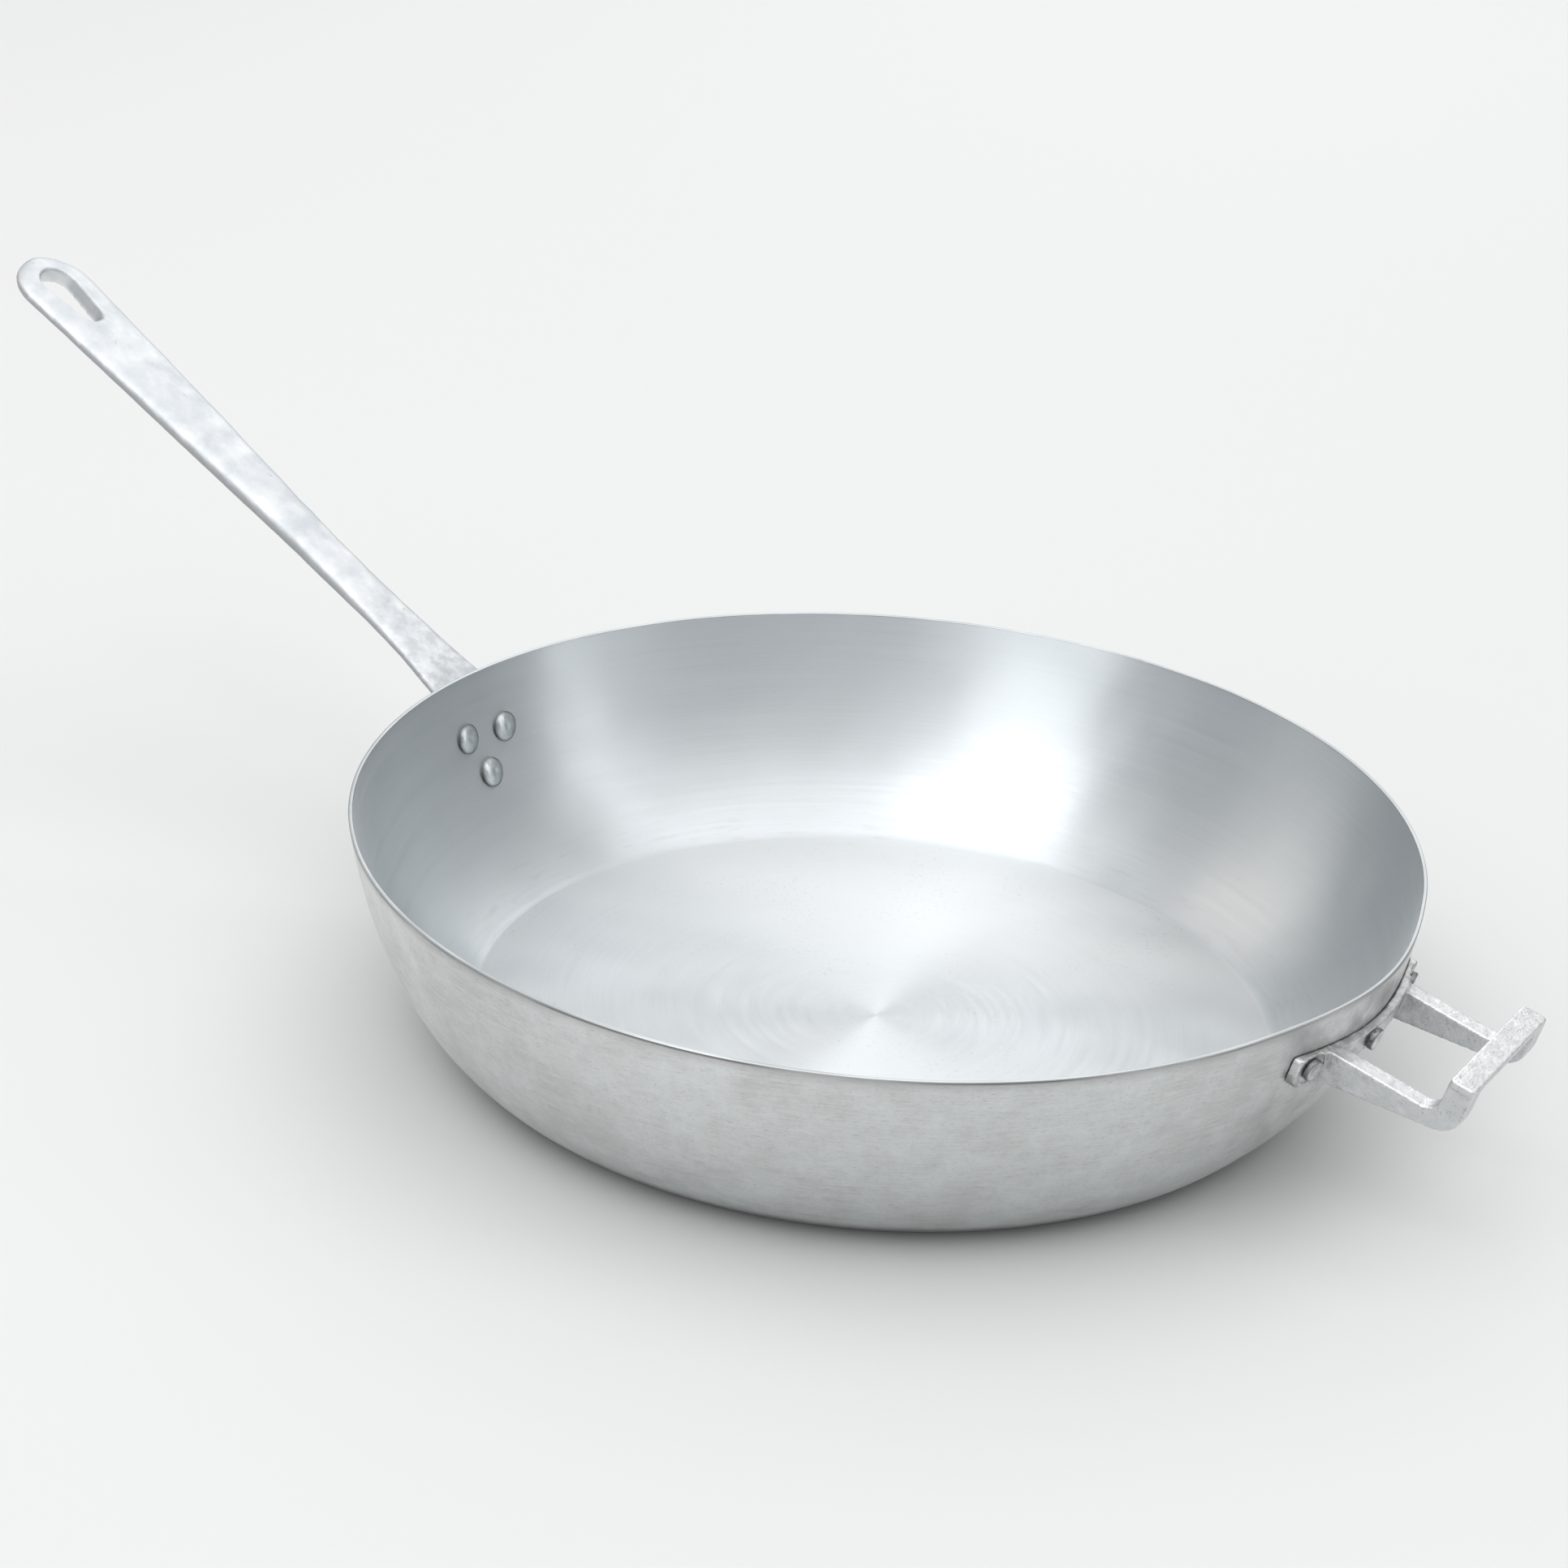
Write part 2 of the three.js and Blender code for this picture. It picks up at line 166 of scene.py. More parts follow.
def direction(turn):
    return Vector((math.cos(math.radians(turn)), math.sin(math.radians(turn)), 0))


def quarterTurn(steps):
    return [math.radians(90 * i / steps) for i in range(steps + 1)]


bulgeOut = direction(bulge["turn"])
bulgeHeight = pan["height"] - bulge["drop"]
bulgeShare = wallShare(outerWall, bulgeHeight)
bulgeCentre = bulgeOut * outerWall(bulgeShare)[0] + upward * bulgeHeight


# moves a point as far as the soft pull that draws out the wall
def bulged(point):
    share = 1 - (point - bulgeCentre).length / bulge["reach"]
    if share <= 0:
        return point
    return point + bulgeOut * (bulge["depth"] * share * share * (3 - 2 * share))


# a place on the outside of the wall: matrix across, up and out of it, and the wall's depth there
def wallPlace(turn, height):
    share = wallShare(outerWall, height)
    radius = outerWall(share)[0]
    lean, rise = wallSlope(outerWall, share)
    radial = direction(turn)
    out = radial * rise - upward * lean
    across = upward.cross(radial)
    up = radial * lean + upward * rise
    depth = (radius - innerWall(wallShare(innerWall, height))[0]) * rise
    matrix = Matrix((across, up, out)).transposed().to_4x4()
    matrix.translation = bulged(radial * radius + upward * height)
    return matrix, depth


# small modelling helpers
def clearSelection():
    if bpy.context.mode != "OBJECT":
        bpy.ops.object.mode_set(mode="OBJECT")
    bpy.ops.object.select_all(action="DESELECT")


def pick(piece):
    clearSelection()
    piece.select_set(True)
    bpy.context.view_layer.objects.active = piece


def settle(piece, matrix=None):
    pick(piece)
    if matrix is not None:
        piece.matrix_world = matrix @ piece.matrix_world
    bpy.ops.object.transform_apply(location=True, rotation=True, scale=True)


def applyModifier(piece, name, kind, **settings):
    pick(piece)
    modifier = piece.modifiers.new(name, kind)
    for key, value in settings.items():
        setattr(modifier, key, value)
    bpy.ops.object.modifier_apply(modifier=modifier.name)


def cutWith(piece, tool, how):
    applyModifier(piece, "cut", "BOOLEAN", operation=how, object=tool, solver="EXACT")


def drop(*pieces):
    for piece in pieces:
        bpy.data.objects.remove(piece)


def copyPiece(piece, name):
    twin = piece.copy()
    twin.data = piece.data.copy()
    twin.name = name
    bpy.context.collection.objects.link(twin)
    return twin


def joinInto(piece, *others):
    pick(piece)
    for other in others:
        other.select_set(True)
    bpy.ops.object.join()
    return piece


def selectVertices(mesh, wanted):
    for vertex in mesh.verts:
        vertex.select_set(wanted(vertex.co))
    mesh.select_flush_mode()


# leaves a surface a little uneven
def roughen(piece, depth, grain):
    cloud = bpy.data.textures.new(piece.name + "Cloud", "CLOUDS")
    cloud.noise_scale = grain
    cloud.noise_depth = 2
    applyModifier(piece, "uneven", "DISPLACE", texture=cloud, strength=depth, mid_level=0.5,
                  texture_coords="LOCAL")


# castings are fused by remeshing, which rounds every edge
def castForm(piece, form):
    applyModifier(piece, "fuse", "REMESH", mode="VOXEL", voxel_size=form["voxel"])
    applyModifier(piece, "soften", "SMOOTH", factor=0.5, iterations=form["smoothing"])
    roughen(piece, form["uneven"], form["grain"])
    pick(piece)
    bpy.ops.object.shade_smooth()


# a turned form: a disc's edge pulled through a row of rings, and closed to a pole at the end
def turnRings(name, rings, segments, turn=0.0):
    clearSelection()
    radius, height = rings[0]
    bpy.ops.mesh.primitive_circle_add(
        vertices=segments, radius=radius, fill_type="TRIFAN",
        location=(0, 0, height), rotation=(0, 0, turn))
    piece = bpy.context.object
    piece.name = name
    settle(piece)
    bpy.ops.object.mode_set(mode="EDIT")
    bpy.ops.mesh.select_mode(type="FACE")
    bpy.ops.mesh.select_all(action="SELECT")
    bpy.ops.mesh.region_to_loop()
    for before, after in zip(rings, rings[1:]):
        bpy.ops.mesh.extrude_edges_move(TRANSFORM_OT_translate={"value": (0, 0, after[1] - before[1])})
        grow = after[0] / before[0]
        bpy.ops.transform.resize(value=(grow, grow, 1), center_override=(0, 0, after[1]))
    bpy.ops.mesh.extrude_edges_move()
    bpy.ops.mesh.merge(type="CENTER")
    bpy.ops.mesh.select_all(action="SELECT")
    bpy.ops.mesh.normals_make_consistent(inside=False)
    bpy.ops.object.mode_set(mode="OBJECT")
    return piece


# pan body: underside, outer wall, rim, inner wall and floor
def heelRings():
    radius, height = outerWall(pan["heelShare"])
    lean, rise = wallSlope(outerWall, pan["heelShare"])
    corner = (radius - height * lean / rise, 0.0)
    steps = pan["heelSteps"]
    return [bend((pan["heelStart"], 0.0), corner, (radius, height), i / steps) for i in range(steps)]


def panRings():
    steps = pan["wallSteps"]
    start = pan["heelStart"]
    rings = [(pan["pole"], 0.0)]
    rings += [(start * share, 0.0) for share in pan["undersideShares"]]
    rings += [(start - pan["heelLead"], 0.0)]
    rings += heelRings()
    rings += [outerWall(pan["heelShare"] + (1 - pan["heelShare"]) * i / steps) for i in range(steps)]
    outside = pan["rimRadius"] - pan["rimInset"]
    inside = pan["rimRadius"] - pan["rimThickness"]
    top, curve = pan["height"], pan["rimRound"]
    turns = quarterTurn(pan["rimSteps"])
    for turn in turns:
        rings.append((outside - curve * (1 - math.cos(turn)), top - curve + curve * math.sin(turn)))
    for turn in reversed(turns):
        rings.append((inside + curve * (1 - math.cos(turn)), top - curve + curve * math.sin(turn)))
    rings += [innerWall(1 - i / steps) for i in range(1, steps + 1)]
    crease, low = innerWall(0)
    for i in range(pan["floorRings"]):
        share = 1 - (i + pan["floorLead"]) / pan["floorRings"]
        rings.append((crease * share, low - pan["floorDish"] * (1 - share)))
    rings.append((pan["pole"], low - pan["floorDish"]))
    return rings


def drawOutWall(piece):
    pick(piece)
    bpy.ops.object.mode_set(mode="EDIT")
    bpy.ops.mesh.select_mode(type="VERT")
    mesh = bmesh.from_edit_mesh(piece.data)
    mesh.verts.ensure_lookup_table()
    nearest = min(mesh.verts, key=lambda vertex: (vertex.co - bulgeCentre).length)
    place = nearest.co.copy()
    selectVertices(mesh, lambda co: (co - place).length < samePlace)
    bmesh.update_edit_mesh(piece.data)
    bpy.ops.transform.translate(
        value=bulgeOut * bulge["depth"],
        use_proportional_edit=True,
        proportional_edit_falloff="SMOOTH",
        proportional_size=bulge["reach"],
    )
    bpy.ops.object.mode_set(mode="OBJECT")


def makePan():
    piece = turnRings("panBody", panRings(), pan["segments"], math.radians(bulge["turn"]))
    drawOutWall(piece)
    pick(piece)
    bpy.ops.object.shade_smooth_by_angle(angle=math.radians(pan["smoothAngle"]))
    return piece


panBody = makePan()
print("pan body:", len(panBody.data.polygons), "faces")

# rivets: a low dome inside the pan, a shank and a turned-down tail
rivetForm = {
    "shankRadius": 3.2 * mm,
    "headRadius": 6.7 * mm,
    "headHeight": 2.1 * mm,
    "headEdge": 0.6 * mm,
    "headCrown": 2.9,
    "headUndercut": 0.7 * mm,
    "dimpleRadius": 1.9 * mm,
    "dimpleDepth": 0.2 * mm,
    "dimpleShares": (0.55, 0.75),  # where the dimple's floor ends, and its depth there
    "crownSteps": 10,
    "tailRadius": 4.8 * mm,
    "tailHeight": 2.5 * mm,
    "tailRound": 0.7 * mm,
    "tailSteps": 3,
    "tailCup": 0.35 * mm,
    "cupShares": (0.6, 0.4),  # the cup's edge and floor, of the tail's radius
    "gap": 0.3 * mm,
    "sunk": 1.2 * mm,  # head's skirt below the wall's surface
    "blankWall": 3 * mm,  # wall and seat that the blank is made for
    "blankSeat": 5 * mm,
    "uneven": 0.36 * mm,
    "grain": 4.2 * mm,
    "segments": 64,
    "pole": 0.2 * mm,
    "smoothAngle": 40,
}
rivetPlaces = {
    "drop": 36 * mm,  # rim down to the middle of the long handle's pad
    "pairSpacing": 24 * mm,
    "slipDown": 1.6 * mm,  # the right one of the pair is set a little low and wide
    "slipOut": 1.4 * mm,
    "rowSpacing": 18.8 * mm,
    "lowShift": 2 * mm,
    "padThickness": 6 * mm,
    "helperSpread": 46 * mm,
    "middleShift": 6.5 * mm,
    "flangeThickness": 4 * mm,
    "spotSeat": 2.8 * mm,
    "handleTurn": 180,
}


def turnFor(length, height):
    return math.degrees(length / outerWall(wallShare(outerWall, height))[0])


def listRivets():
    places = rivetPlaces
    middle = pan["height"] - places["drop"]
    rise = places["rowSpacing"] / 2 * wallSlope(outerWall, wallShare(outerWall, middle))[1]
    upper, lower = middle + rise, middle - rise
    side = turnFor(places["pairSpacing"] / 2, upper)
    wide = side + turnFor(places["slipOut"], upper)
    low = turnFor(places["lowShift"], lower)
    outer = turnFor(places["helperSpread"], bulgeHeight)
    shift = turnFor(places["middleShift"], bulgeHeight)
    turn, pad = places["handleTurn"], places["padThickness"]
    return {
        "handle_rivet_left": (turn + side, upper, pad),
        "handle_rivet_right": (turn - wide, upper - places["slipDown"], pad),
        "handle_rivet_low": (turn + low, lower, pad),
        "helper_rivet_left": (bulge["turn"] + outer, bulgeHeight, places["spotSeat"]),
        "helper_rivet_middle": (bulge["turn"] - shift, bulgeHeight, places["flangeThickness"]),
        "helper_rivet_right": (bulge["turn"] - outer, bulgeHeight, places["spotSeat"]),
    }


def rivetRings():
    form = rivetForm
    depth, seat = form["blankWall"], form["blankSeat"]
    top = -depth - form["gap"] - form["headHeight"]
    edge = -depth - form["gap"] - form["headEdge"]
    inner, sink = form["dimpleShares"]
    rings = [(form["pole"], top + form["dimpleDepth"])]
    rings.append((form["dimpleRadius"] * inner, top + form["dimpleDepth"] * sink))
    steps = form["crownSteps"]
    for i in range(steps + 1):
        reach = form["dimpleRadius"] + (form["headRadius"] - form["dimpleRadius"]) * i / steps
        fall = (reach / form["headRadius"]) ** form["headCrown"]
        rings.append((reach, edge + (top - edge) * (1 - fall)))
    rings.append((form["headRadius"] - form["headUndercut"] / 4, (edge - depth) / 2))
    rings.append((form["headRadius"] - form["headUndercut"], -depth))
    rings.append((form["headRadius"] - form["headUndercut"], -depth + form["sunk"]))
    rings.append((form["shankRadius"], -depth + form["sunk"]))
    foot = seat + form["gap"]
    rings.append((form["shankRadius"], foot))
    rings.append((form["tailRadius"] - form["tailRound"] / 2, foot))
    rings.append((form["tailRadius"], foot + form["tailRound"] / 2))
    end = foot + form["tailHeight"]
    for turn in quarterTurn(form["tailSteps"]):
        pull = form["tailRound"] * (1 - math.cos(turn))
        rings.append((form["tailRadius"] - pull, end - form["tailRound"] * (1 - math.sin(turn))))
    cupEdge, cupFloor = form["cupShares"]
    rings.append((form["tailRadius"] * cupEdge, end))
    rings.append((form["tailRadius"] * cupFloor, end - form["tailCup"]))
    rings.append((form["pole"], end - form["tailCup"]))
    return rings


def makeRivetBlank():
    piece = turnRings("rivetBlank", rivetRings(), rivetForm["segments"])
    reach = piece.data.attributes.new("reach", "FLOAT", "POINT")  # distance from the rivet's axis
    for vertex in piece.data.vertices:
        reach.data[vertex.index].value = math.hypot(vertex.co.x, vertex.co.y)
    return piece


def slideAlong(piece, wanted, length):
    mesh = bmesh.from_edit_mesh(piece.data)
    selectVertices(mesh, wanted)
    bmesh.update_edit_mesh(piece.data)
    bpy.ops.transform.translate(value=(0, 0, length))


# a copy of the blank, with its head set to the wall and its tail to the seat
def fitRivet(blank, node, turn, height, seat):
    matrix, depth = wallPlace(turn, height)
    first, *others = node.split("_")
    piece = copyPiece(blank, first + "".join(word.title() for word in others))
    pick(piece)
    bpy.ops.object.mode_set(mode="EDIT")
    bpy.ops.mesh.select_mode(type="VERT")
    slideAlong(piece, lambda co: co.z < 0, rivetForm["blankWall"] - depth)
    slideAlong(piece, lambda co: co.z > 0, seat - rivetForm["blankSeat"])
    settle(piece, matrix)
    roughen(piece, rivetForm["uneven"], rivetForm["grain"])
    bpy.ops.object.shade_smooth_by_angle(angle=math.radians(rivetForm["smoothAngle"]))
    return piece


rivetList = listRivets()
rivetBlank = makeRivetBlank()
rivets = {node: fitRivet(rivetBlank, node, *place) for node, place in rivetList.items()}
drop(rivetBlank)
print("rivets:", len(rivets))


# solid that fills the pan's outside, grown outwards, to trim the castings to the wall
def makePlug(growth):
    steps = pan["plugSteps"]
    rings = [(pan["pole"], -growth)]
    for i in range(steps + 1):
        share = i / steps
        radius, height = outerWall(share)
        lean, rise = wallSlope(outerWall, share)
        rings.append((radius + growth * rise, height - growth * lean))
    rings.append((pan["pole"], pan["height"] + growth))
    piece = turnRings("plug", rings, pan["segments"], math.radians(bulge["turn"]))
    for vertex in piece.data.vertices:
        vertex.co = bulged(vertex.co)
    return piece


# a convex block from round rods standing at its corners
def rodBlock(name, rods, low, high, draft=0):
    clearSelection()
    made = []
    for x, y, radius in rods:
        bpy.ops.mesh.primitive_cone_add(
            vertices=rodSides, radius1=radius + draft * low, radius2=radius + draft * high,
            depth=high - low, location=(x, y, (low + high) / 2))
        made.append(bpy.context.object)
    piece = joinInto(*made) if len(made) > 1 else made[0]
    piece.name = name
    settle(piece)
    bpy.ops.object.mode_set(mode="EDIT")
    bpy.ops.mesh.select_all(action="SELECT")
    bpy.ops.mesh.convex_hull()
    bpy.ops.object.mode_set(mode="OBJECT")
    return piece


# long handle: a bar with a riveting pad at the wall and a hanging hole at the tip
handle = {
    "drop": 10 * mm,  # rim down to where the bar's top meets the wall
    "rise": 27.4,  # degrees
    "reach": 303.2 * mm,
    "arch": 1.7 * mm,
    "eyeRadius": 20 * mm,
    "eyeThickness": 8.2 * mm,
    "eyeBorder": 10 * mm,
    "holeWide": 9 * mm,
    "holeNarrow": 6 * mm,
    "holeCentres": 22 * mm,
    "holeDraft": 0.16,
    "holeCut": (-20 * mm, 10 * mm),  # heights between which the hole is cut
    "barSteps": 26,
    "tipSteps": 9,
    "tipTurn": 9.4,  # degrees round the tip for each step
    "tipRound": 0.18,
    "overrun": 10 * mm,
    "squareness": 2.7,  # 2 is an ellipse
    "sectionSides": 40,
    "rivetLand": 10 * mm,
    "padCorner": 5 * mm,
    "voxel": 0.8 * mm,
    "smoothing": 16,
    "uneven": 0.45 * mm,
    "grain": 14 * mm,
}
# place along the bar, half width and thickness there
barKeys = [
    (-10 * mm, 17.6 * mm, 6 * mm),
    (0, 17.6 * mm, 6 * mm),
    (41 * mm, 13 * mm, 7 * mm),
    (100 * mm, 11.6 * mm, 9.8 * mm),
    (191.25 * mm, 15.8 * mm, 9.8 * mm),
    (282.5 * mm, 20 * mm, 8.2 * mm),
]


# a smooth curve through the keys, read off at one place
def between(keys, place, column):
    last = len(keys) - 1
    i = next((i for i in range(last) if place <= keys[i + 1][0]), last - 1)
    start, end = keys[i], keys[i + 1]
    before, after = keys[max(i - 1, 0)], keys[min(i + 2, last)]
    span = end[0] - start[0]
    leaving = (end[column] - before[column]) / (end[0] - before[0]) * span
    arriving = (after[column] - start[column]) / (after[0] - start[0]) * span
    t = (place - start[0]) / span
    return ((2 * t**3 - 3 * t**2 + 1) * start[column] + (t**3 - 2 * t**2 + t) * leaving
            + (3 * t**2 - 2 * t**3) * end[column] + (t**3 - t**2) * arriving)


def barStations():
    eye = handle["reach"] - handle["eyeRadius"]
    steps = handle["barSteps"]
    stations = []
    for i in range(steps + 1):
        place = -handle["overrun"] + (eye + handle["overrun"]) * i / steps
        thickness = between(barKeys, place, 2)
        stations.append((place, between(barKeys, place, 1), thickness, barTop(place) - thickness / 2))
    for i in range(1, handle["tipSteps"] + 1):
        turn = math.radians(handle["tipTurn"] * i)
        place = eye + handle["eyeRadius"] * math.sin(turn)
        thickness = handle["eyeThickness"]
        middle = barTop(place) - thickness / 2
        rounded = thickness * math.cos(turn) ** handle["tipRound"]
        stations.append((place, handle["eyeRadius"] * math.cos(turn), rounded, middle))
    return stations


def barTop(place):
    share = min(max(place / handle["reach"], 0), 1)
    return handle["arch"] * 4 * share * (1 - share)  # highest half way along


# the bar's section: between an ellipse and a box, drawn at half width and half thickness 1
def crownedSection():
    sides = handle["sectionSides"]
    power = 2 / handle["squareness"]
    points = []
    for i in range(sides):
        turn = 2 * math.pi * i / sides
        across, up = math.cos(turn), math.sin(turn)
        points.append((math.copysign(abs(across) ** power, across), math.copysign(abs(up) ** power, up)))
    return points


def makeBar():
    stations = barStations()
    place, half, thickness, height = stations[0]
    middle = Vector((place, 0, height))
    clearSelection()
    bpy.ops.mesh.primitive_circle_add(vertices=handle["sectionSides"], radius=1, fill_type="NGON")
    piece = bpy.context.object
    piece.name = "longHandle"
    for vertex, (across, up) in zip(piece.data.vertices, crownedSection()):
        vertex.co = middle + Vector((0, across * half, up * thickness / 2))
    bpy.ops.object.mode_set(mode="EDIT")
    bpy.ops.mesh.select_mode(type="FACE")
    bpy.ops.mesh.select_all(action="SELECT")
    for nextPlace, nextHalf, nextThickness, nextHeight in stations[1:]:
        target = Vector((nextPlace, 0, nextHeight))
        bpy.ops.mesh.extrude_region_move(TRANSFORM_OT_translate={"value": target - middle})
        bpy.ops.transform.resize(
            value=(1, nextHalf / half, nextThickness / thickness), center_override=target)
        middle, half, thickness = target, nextHalf, nextThickness
    bpy.ops.mesh.select_all(action="SELECT")
    bpy.ops.mesh.normals_make_consistent(inside=False)
    bpy.ops.object.mode_set(mode="OBJECT")
    return piece


def makeHandle():
    piece = makeBar()
    wide = handle["reach"] - handle["eyeBorder"] - handle["holeWide"]
    narrow = wide - handle["holeCentres"]
    rods = [(wide, 0, handle["holeWide"]), (narrow, 0, handle["holeNarrow"])]
    hole = rodBlock("hole", rods, *handle["holeCut"], handle["holeDraft"])
    cutWith(piece, hole, "DIFFERENCE")
    rise = math.radians(handle["rise"])
    out = direction(rivetPlaces["handleTurn"])
    across = upward.cross(out)
    along = out * math.cos(rise) + upward * math.sin(rise)
    matrix = Matrix((along, across, along.cross(across))).transposed().to_4x4()
    rootHeight = pan["height"] - handle["drop"]
    root = out * outerWall(wallShare(outerWall, rootHeight))[0] + upward * rootHeight
    matrix.translation = root
    settle(piece, matrix)
    padMatrix = wallPlace(rivetPlaces["handleTurn"], pan["height"] - rivetPlaces["drop"])[0]
    top = (padMatrix.inverted() @ root).y
    side, row = rivetPlaces["pairSpacing"] / 2, rivetPlaces["rowSpacing"] / 2
    land, corner = handle["rivetLand"], handle["padCorner"]
    pad = rodBlock("pad", [
        (0, -row, land),
        (side, row, land),
        (-side, row, land),
        (side + land - corner, top - corner, corner),
        (corner - side - land, top - corner, corner),
    ], -blockReach, blockReach)
    settle(pad, padMatrix)
    thick, snug = makePlug(rivetPlaces["padThickness"]), makePlug(rivetForm["gap"])
    cutWith(pad, thick, "INTERSECT")
    cutWith(pad, snug, "DIFFERENCE")
    cutWith(piece, snug, "DIFFERENCE")
    joinInto(piece, pad)
    drop(hole, thick, snug)
    castForm(piece, handle)
    return piece, matrix @ Vector(((wide + narrow) / 2, 0, -handle["eyeThickness"] / 2))


longHandle, eyeCentre = makeHandle()
print("long handle:", len(longHandle.data.polygons), "faces")

# helper handle: a flange on the wall, two hooked arms and a raised grip
helper = {
    "skew": 1.4,  # degrees that the arms and the grip are swung round
    "flangeHalf": 55 * mm,
    "flangeTop": 4 * mm,
    "flangeBottom": 6.2 * mm,
    "lobeBottom": 10.6 * mm,
    "lobeCorner": 6 * mm,
    "lobeTopCorner": 1.6 * mm,
    "spotRadius": 7.5 * mm,
    "armHalfSpan": 38.2 * mm,
    "armWidth": 8.4 * mm,
    "armTop": 3.8 * mm,
    "armRootHeight": 14.2 * mm,
    "armEndHeight": 7.2 * mm,
    "hookReach": 55.7 * mm,
    "hookThickness": 11 * mm,
    "hookOuter": 12.5 * mm,
    "hookInner": 6.5 * mm,
    "hookSag": 1 * mm,
    "bendSteps": 6,
    "gripRise": 17.2 * mm,
    "gripThickness": 3 * mm,
    "gripWidth": 11 * mm,
    "gripHalf": 38.5 * mm,
    "gripCorner": 1.8 * mm,
    "edge": 0.7 * mm,
    "overrun": 8 * mm,
    "voxel": 0.45 * mm,
    "smoothing": 5,
    "uneven": 0.17 * mm,
    "grain": 2.2 * mm,
}


# an arm's side view: pairs of points, below and above, from the wall to the hook's end
def hookSections():
    top = helper["armTop"]
    foot = top - helper["armRootHeight"]
    low = top - helper["armEndHeight"]
    far = helper["hookReach"]
    inside = far - helper["hookThickness"]
    curve = helper["hookInner"]
    sections = [((out, foot), (out, top)) for out in (-helper["overrun"], 0)]
    bendStart, bendEnd = (far - helper["hookOuter"], low), (far, low + helper["hookOuter"])
    steps = helper["bendSteps"]
    for i in range(steps + 1):
        share = i / steps
        turn = share * math.pi / 2
        outer = bend(bendStart, (far, low + helper["hookSag"]), bendEnd, share)
        inner = (inside - curve + curve * math.sin(turn), top + curve * (1 - math.cos(turn)))
        sections.append((outer, inner))
    peak = top + helper["gripRise"] - helper["gripThickness"] / 2
    sections.append(((far, peak), (inside, peak)))
    return sections


def makeArm():
    sections = hookSections()
    parts = []
    for first, second in zip(sections, sections[1:]):
        rods = [(x, y, helper["edge"]) for x, y in shrink(first, second)]
        parts.append(rodBlock("arm", rods, 0, helper["armWidth"]))
    return parts


# pulls a section's two ends towards each other by the rods' radius
def shrink(first, second):
    kept = []
    for low, high in (first, second):
        dx, dy = high[0] - low[0], high[1] - low[1]
        size = math.hypot(dx, dy)
        ux, uy = dx / size * helper["edge"], dy / size * helper["edge"]
        kept += [(low[0] + ux, low[1] + uy), (high[0] - ux, high[1] - uy)]
    return kept


def makeFlange(matrix):
    inner = helper["armHalfSpan"] - helper["armWidth"] / 2
    topRound, lobeRound = helper["lobeTopCorner"], helper["lobeCorner"]
    strip = rodBlock("strip", [
        (x, y, topRound)
        for x in (-inner, inner)
        for y in (topRound - helper["flangeBottom"], helper["flangeTop"] - topRound)
    ], -blockReach, blockReach)
    lobes = []
    for side in (-1, 1):
        lobes.append(rodBlock("lobe", [
            (side * (helper["flangeHalf"] - lobeRound), lobeRound - helper["lobeBottom"], lobeRound),
            (side * (helper["flangeHalf"] - topRound), helper["flangeTop"] - topRound, topRound),
            (side * inner, helper["flangeTop"] - topRound, topRound),
            (side * inner, topRound - helper["flangeBottom"], topRound),
            (side * helper["armHalfSpan"], topRound - helper["lobeBottom"], topRound),
        ], -blockReach, blockReach))
    thick = makePlug(rivetPlaces["flangeThickness"])
    for block in (strip, *lobes):
        settle(block, matrix)
        cutWith(block, thick, "INTERSECT")
    drop(thick)
    return [strip, *lobes]


def makeHelper():
    matrix = wallPlace(bulge["turn"], bulgeHeight)[0]
    upright = matrix.copy()
    upright.translation = (0, 0, 0)
    swing = Matrix.Rotation(math.radians(helper["skew"]), 4, "Z")
    skew = Matrix.Translation(matrix.translation) @ swing @ upright
    flange = makeFlange(matrix)
    # arms are drawn out from and up the wall, with their width across
    outUpAcross = Matrix(((0, 0, -1, 0), (0, 1, 0, 0), (1, 0, 0, 0), (0, 0, 0, 1)))
    arms = []
    pattern = makeArm()
    for start in (-helper["armHalfSpan"], helper["armHalfSpan"] - helper["armWidth"]):
        blocks = [copyPiece(block, "arm") for block in pattern]
        for block in blocks:
            settle(block, skew @ outUpAcross @ Matrix.Translation((0, 0, start)))
        flange += blocks[:2]
        arms += blocks[2:]
    drop(*pattern)
    far = helper["hookReach"] + (helper["gripWidth"] - helper["hookThickness"]) / 2
    near = far - helper["gripWidth"]
    corner, end = helper["gripCorner"], helper["gripHalf"]
    gripTop = helper["armTop"] + helper["gripRise"]
    grip = rodBlock("grip", [
        (x, y, corner) for x in (near + corner, far - corner) for y in (corner - end, end - corner)
    ], gripTop - helper["gripThickness"], gripTop)
    outAcrossUp = Matrix(((0, 1, 0, 0), (0, 0, 1, 0), (1, 0, 0, 0), (0, 0, 0, 1)))
    settle(grip, skew @ outAcrossUp)
    tools = [makePlug(rivetForm["gap"])]
    for node in ("helper_rivet_left", "helper_rivet_right"):
        turn, height, seat = rivetList[node]
        tools.append(rodBlock("spot", [(0, 0, helper["spotRadius"])], seat, blockReach))
        settle(tools[-1], wallPlace(turn, height)[0])
    for block in flange:
        for tool in tools:
            cutWith(block, tool, "DIFFERENCE")
    piece = joinInto(grip, *flange, *arms)
    piece.name = "helperHandle"
    drop(*tools)
    castForm(piece, helper)
    return piece


helperHandle = makeHelper()
print("helper handle:", len(helperHandle.data.polygons), "faces")


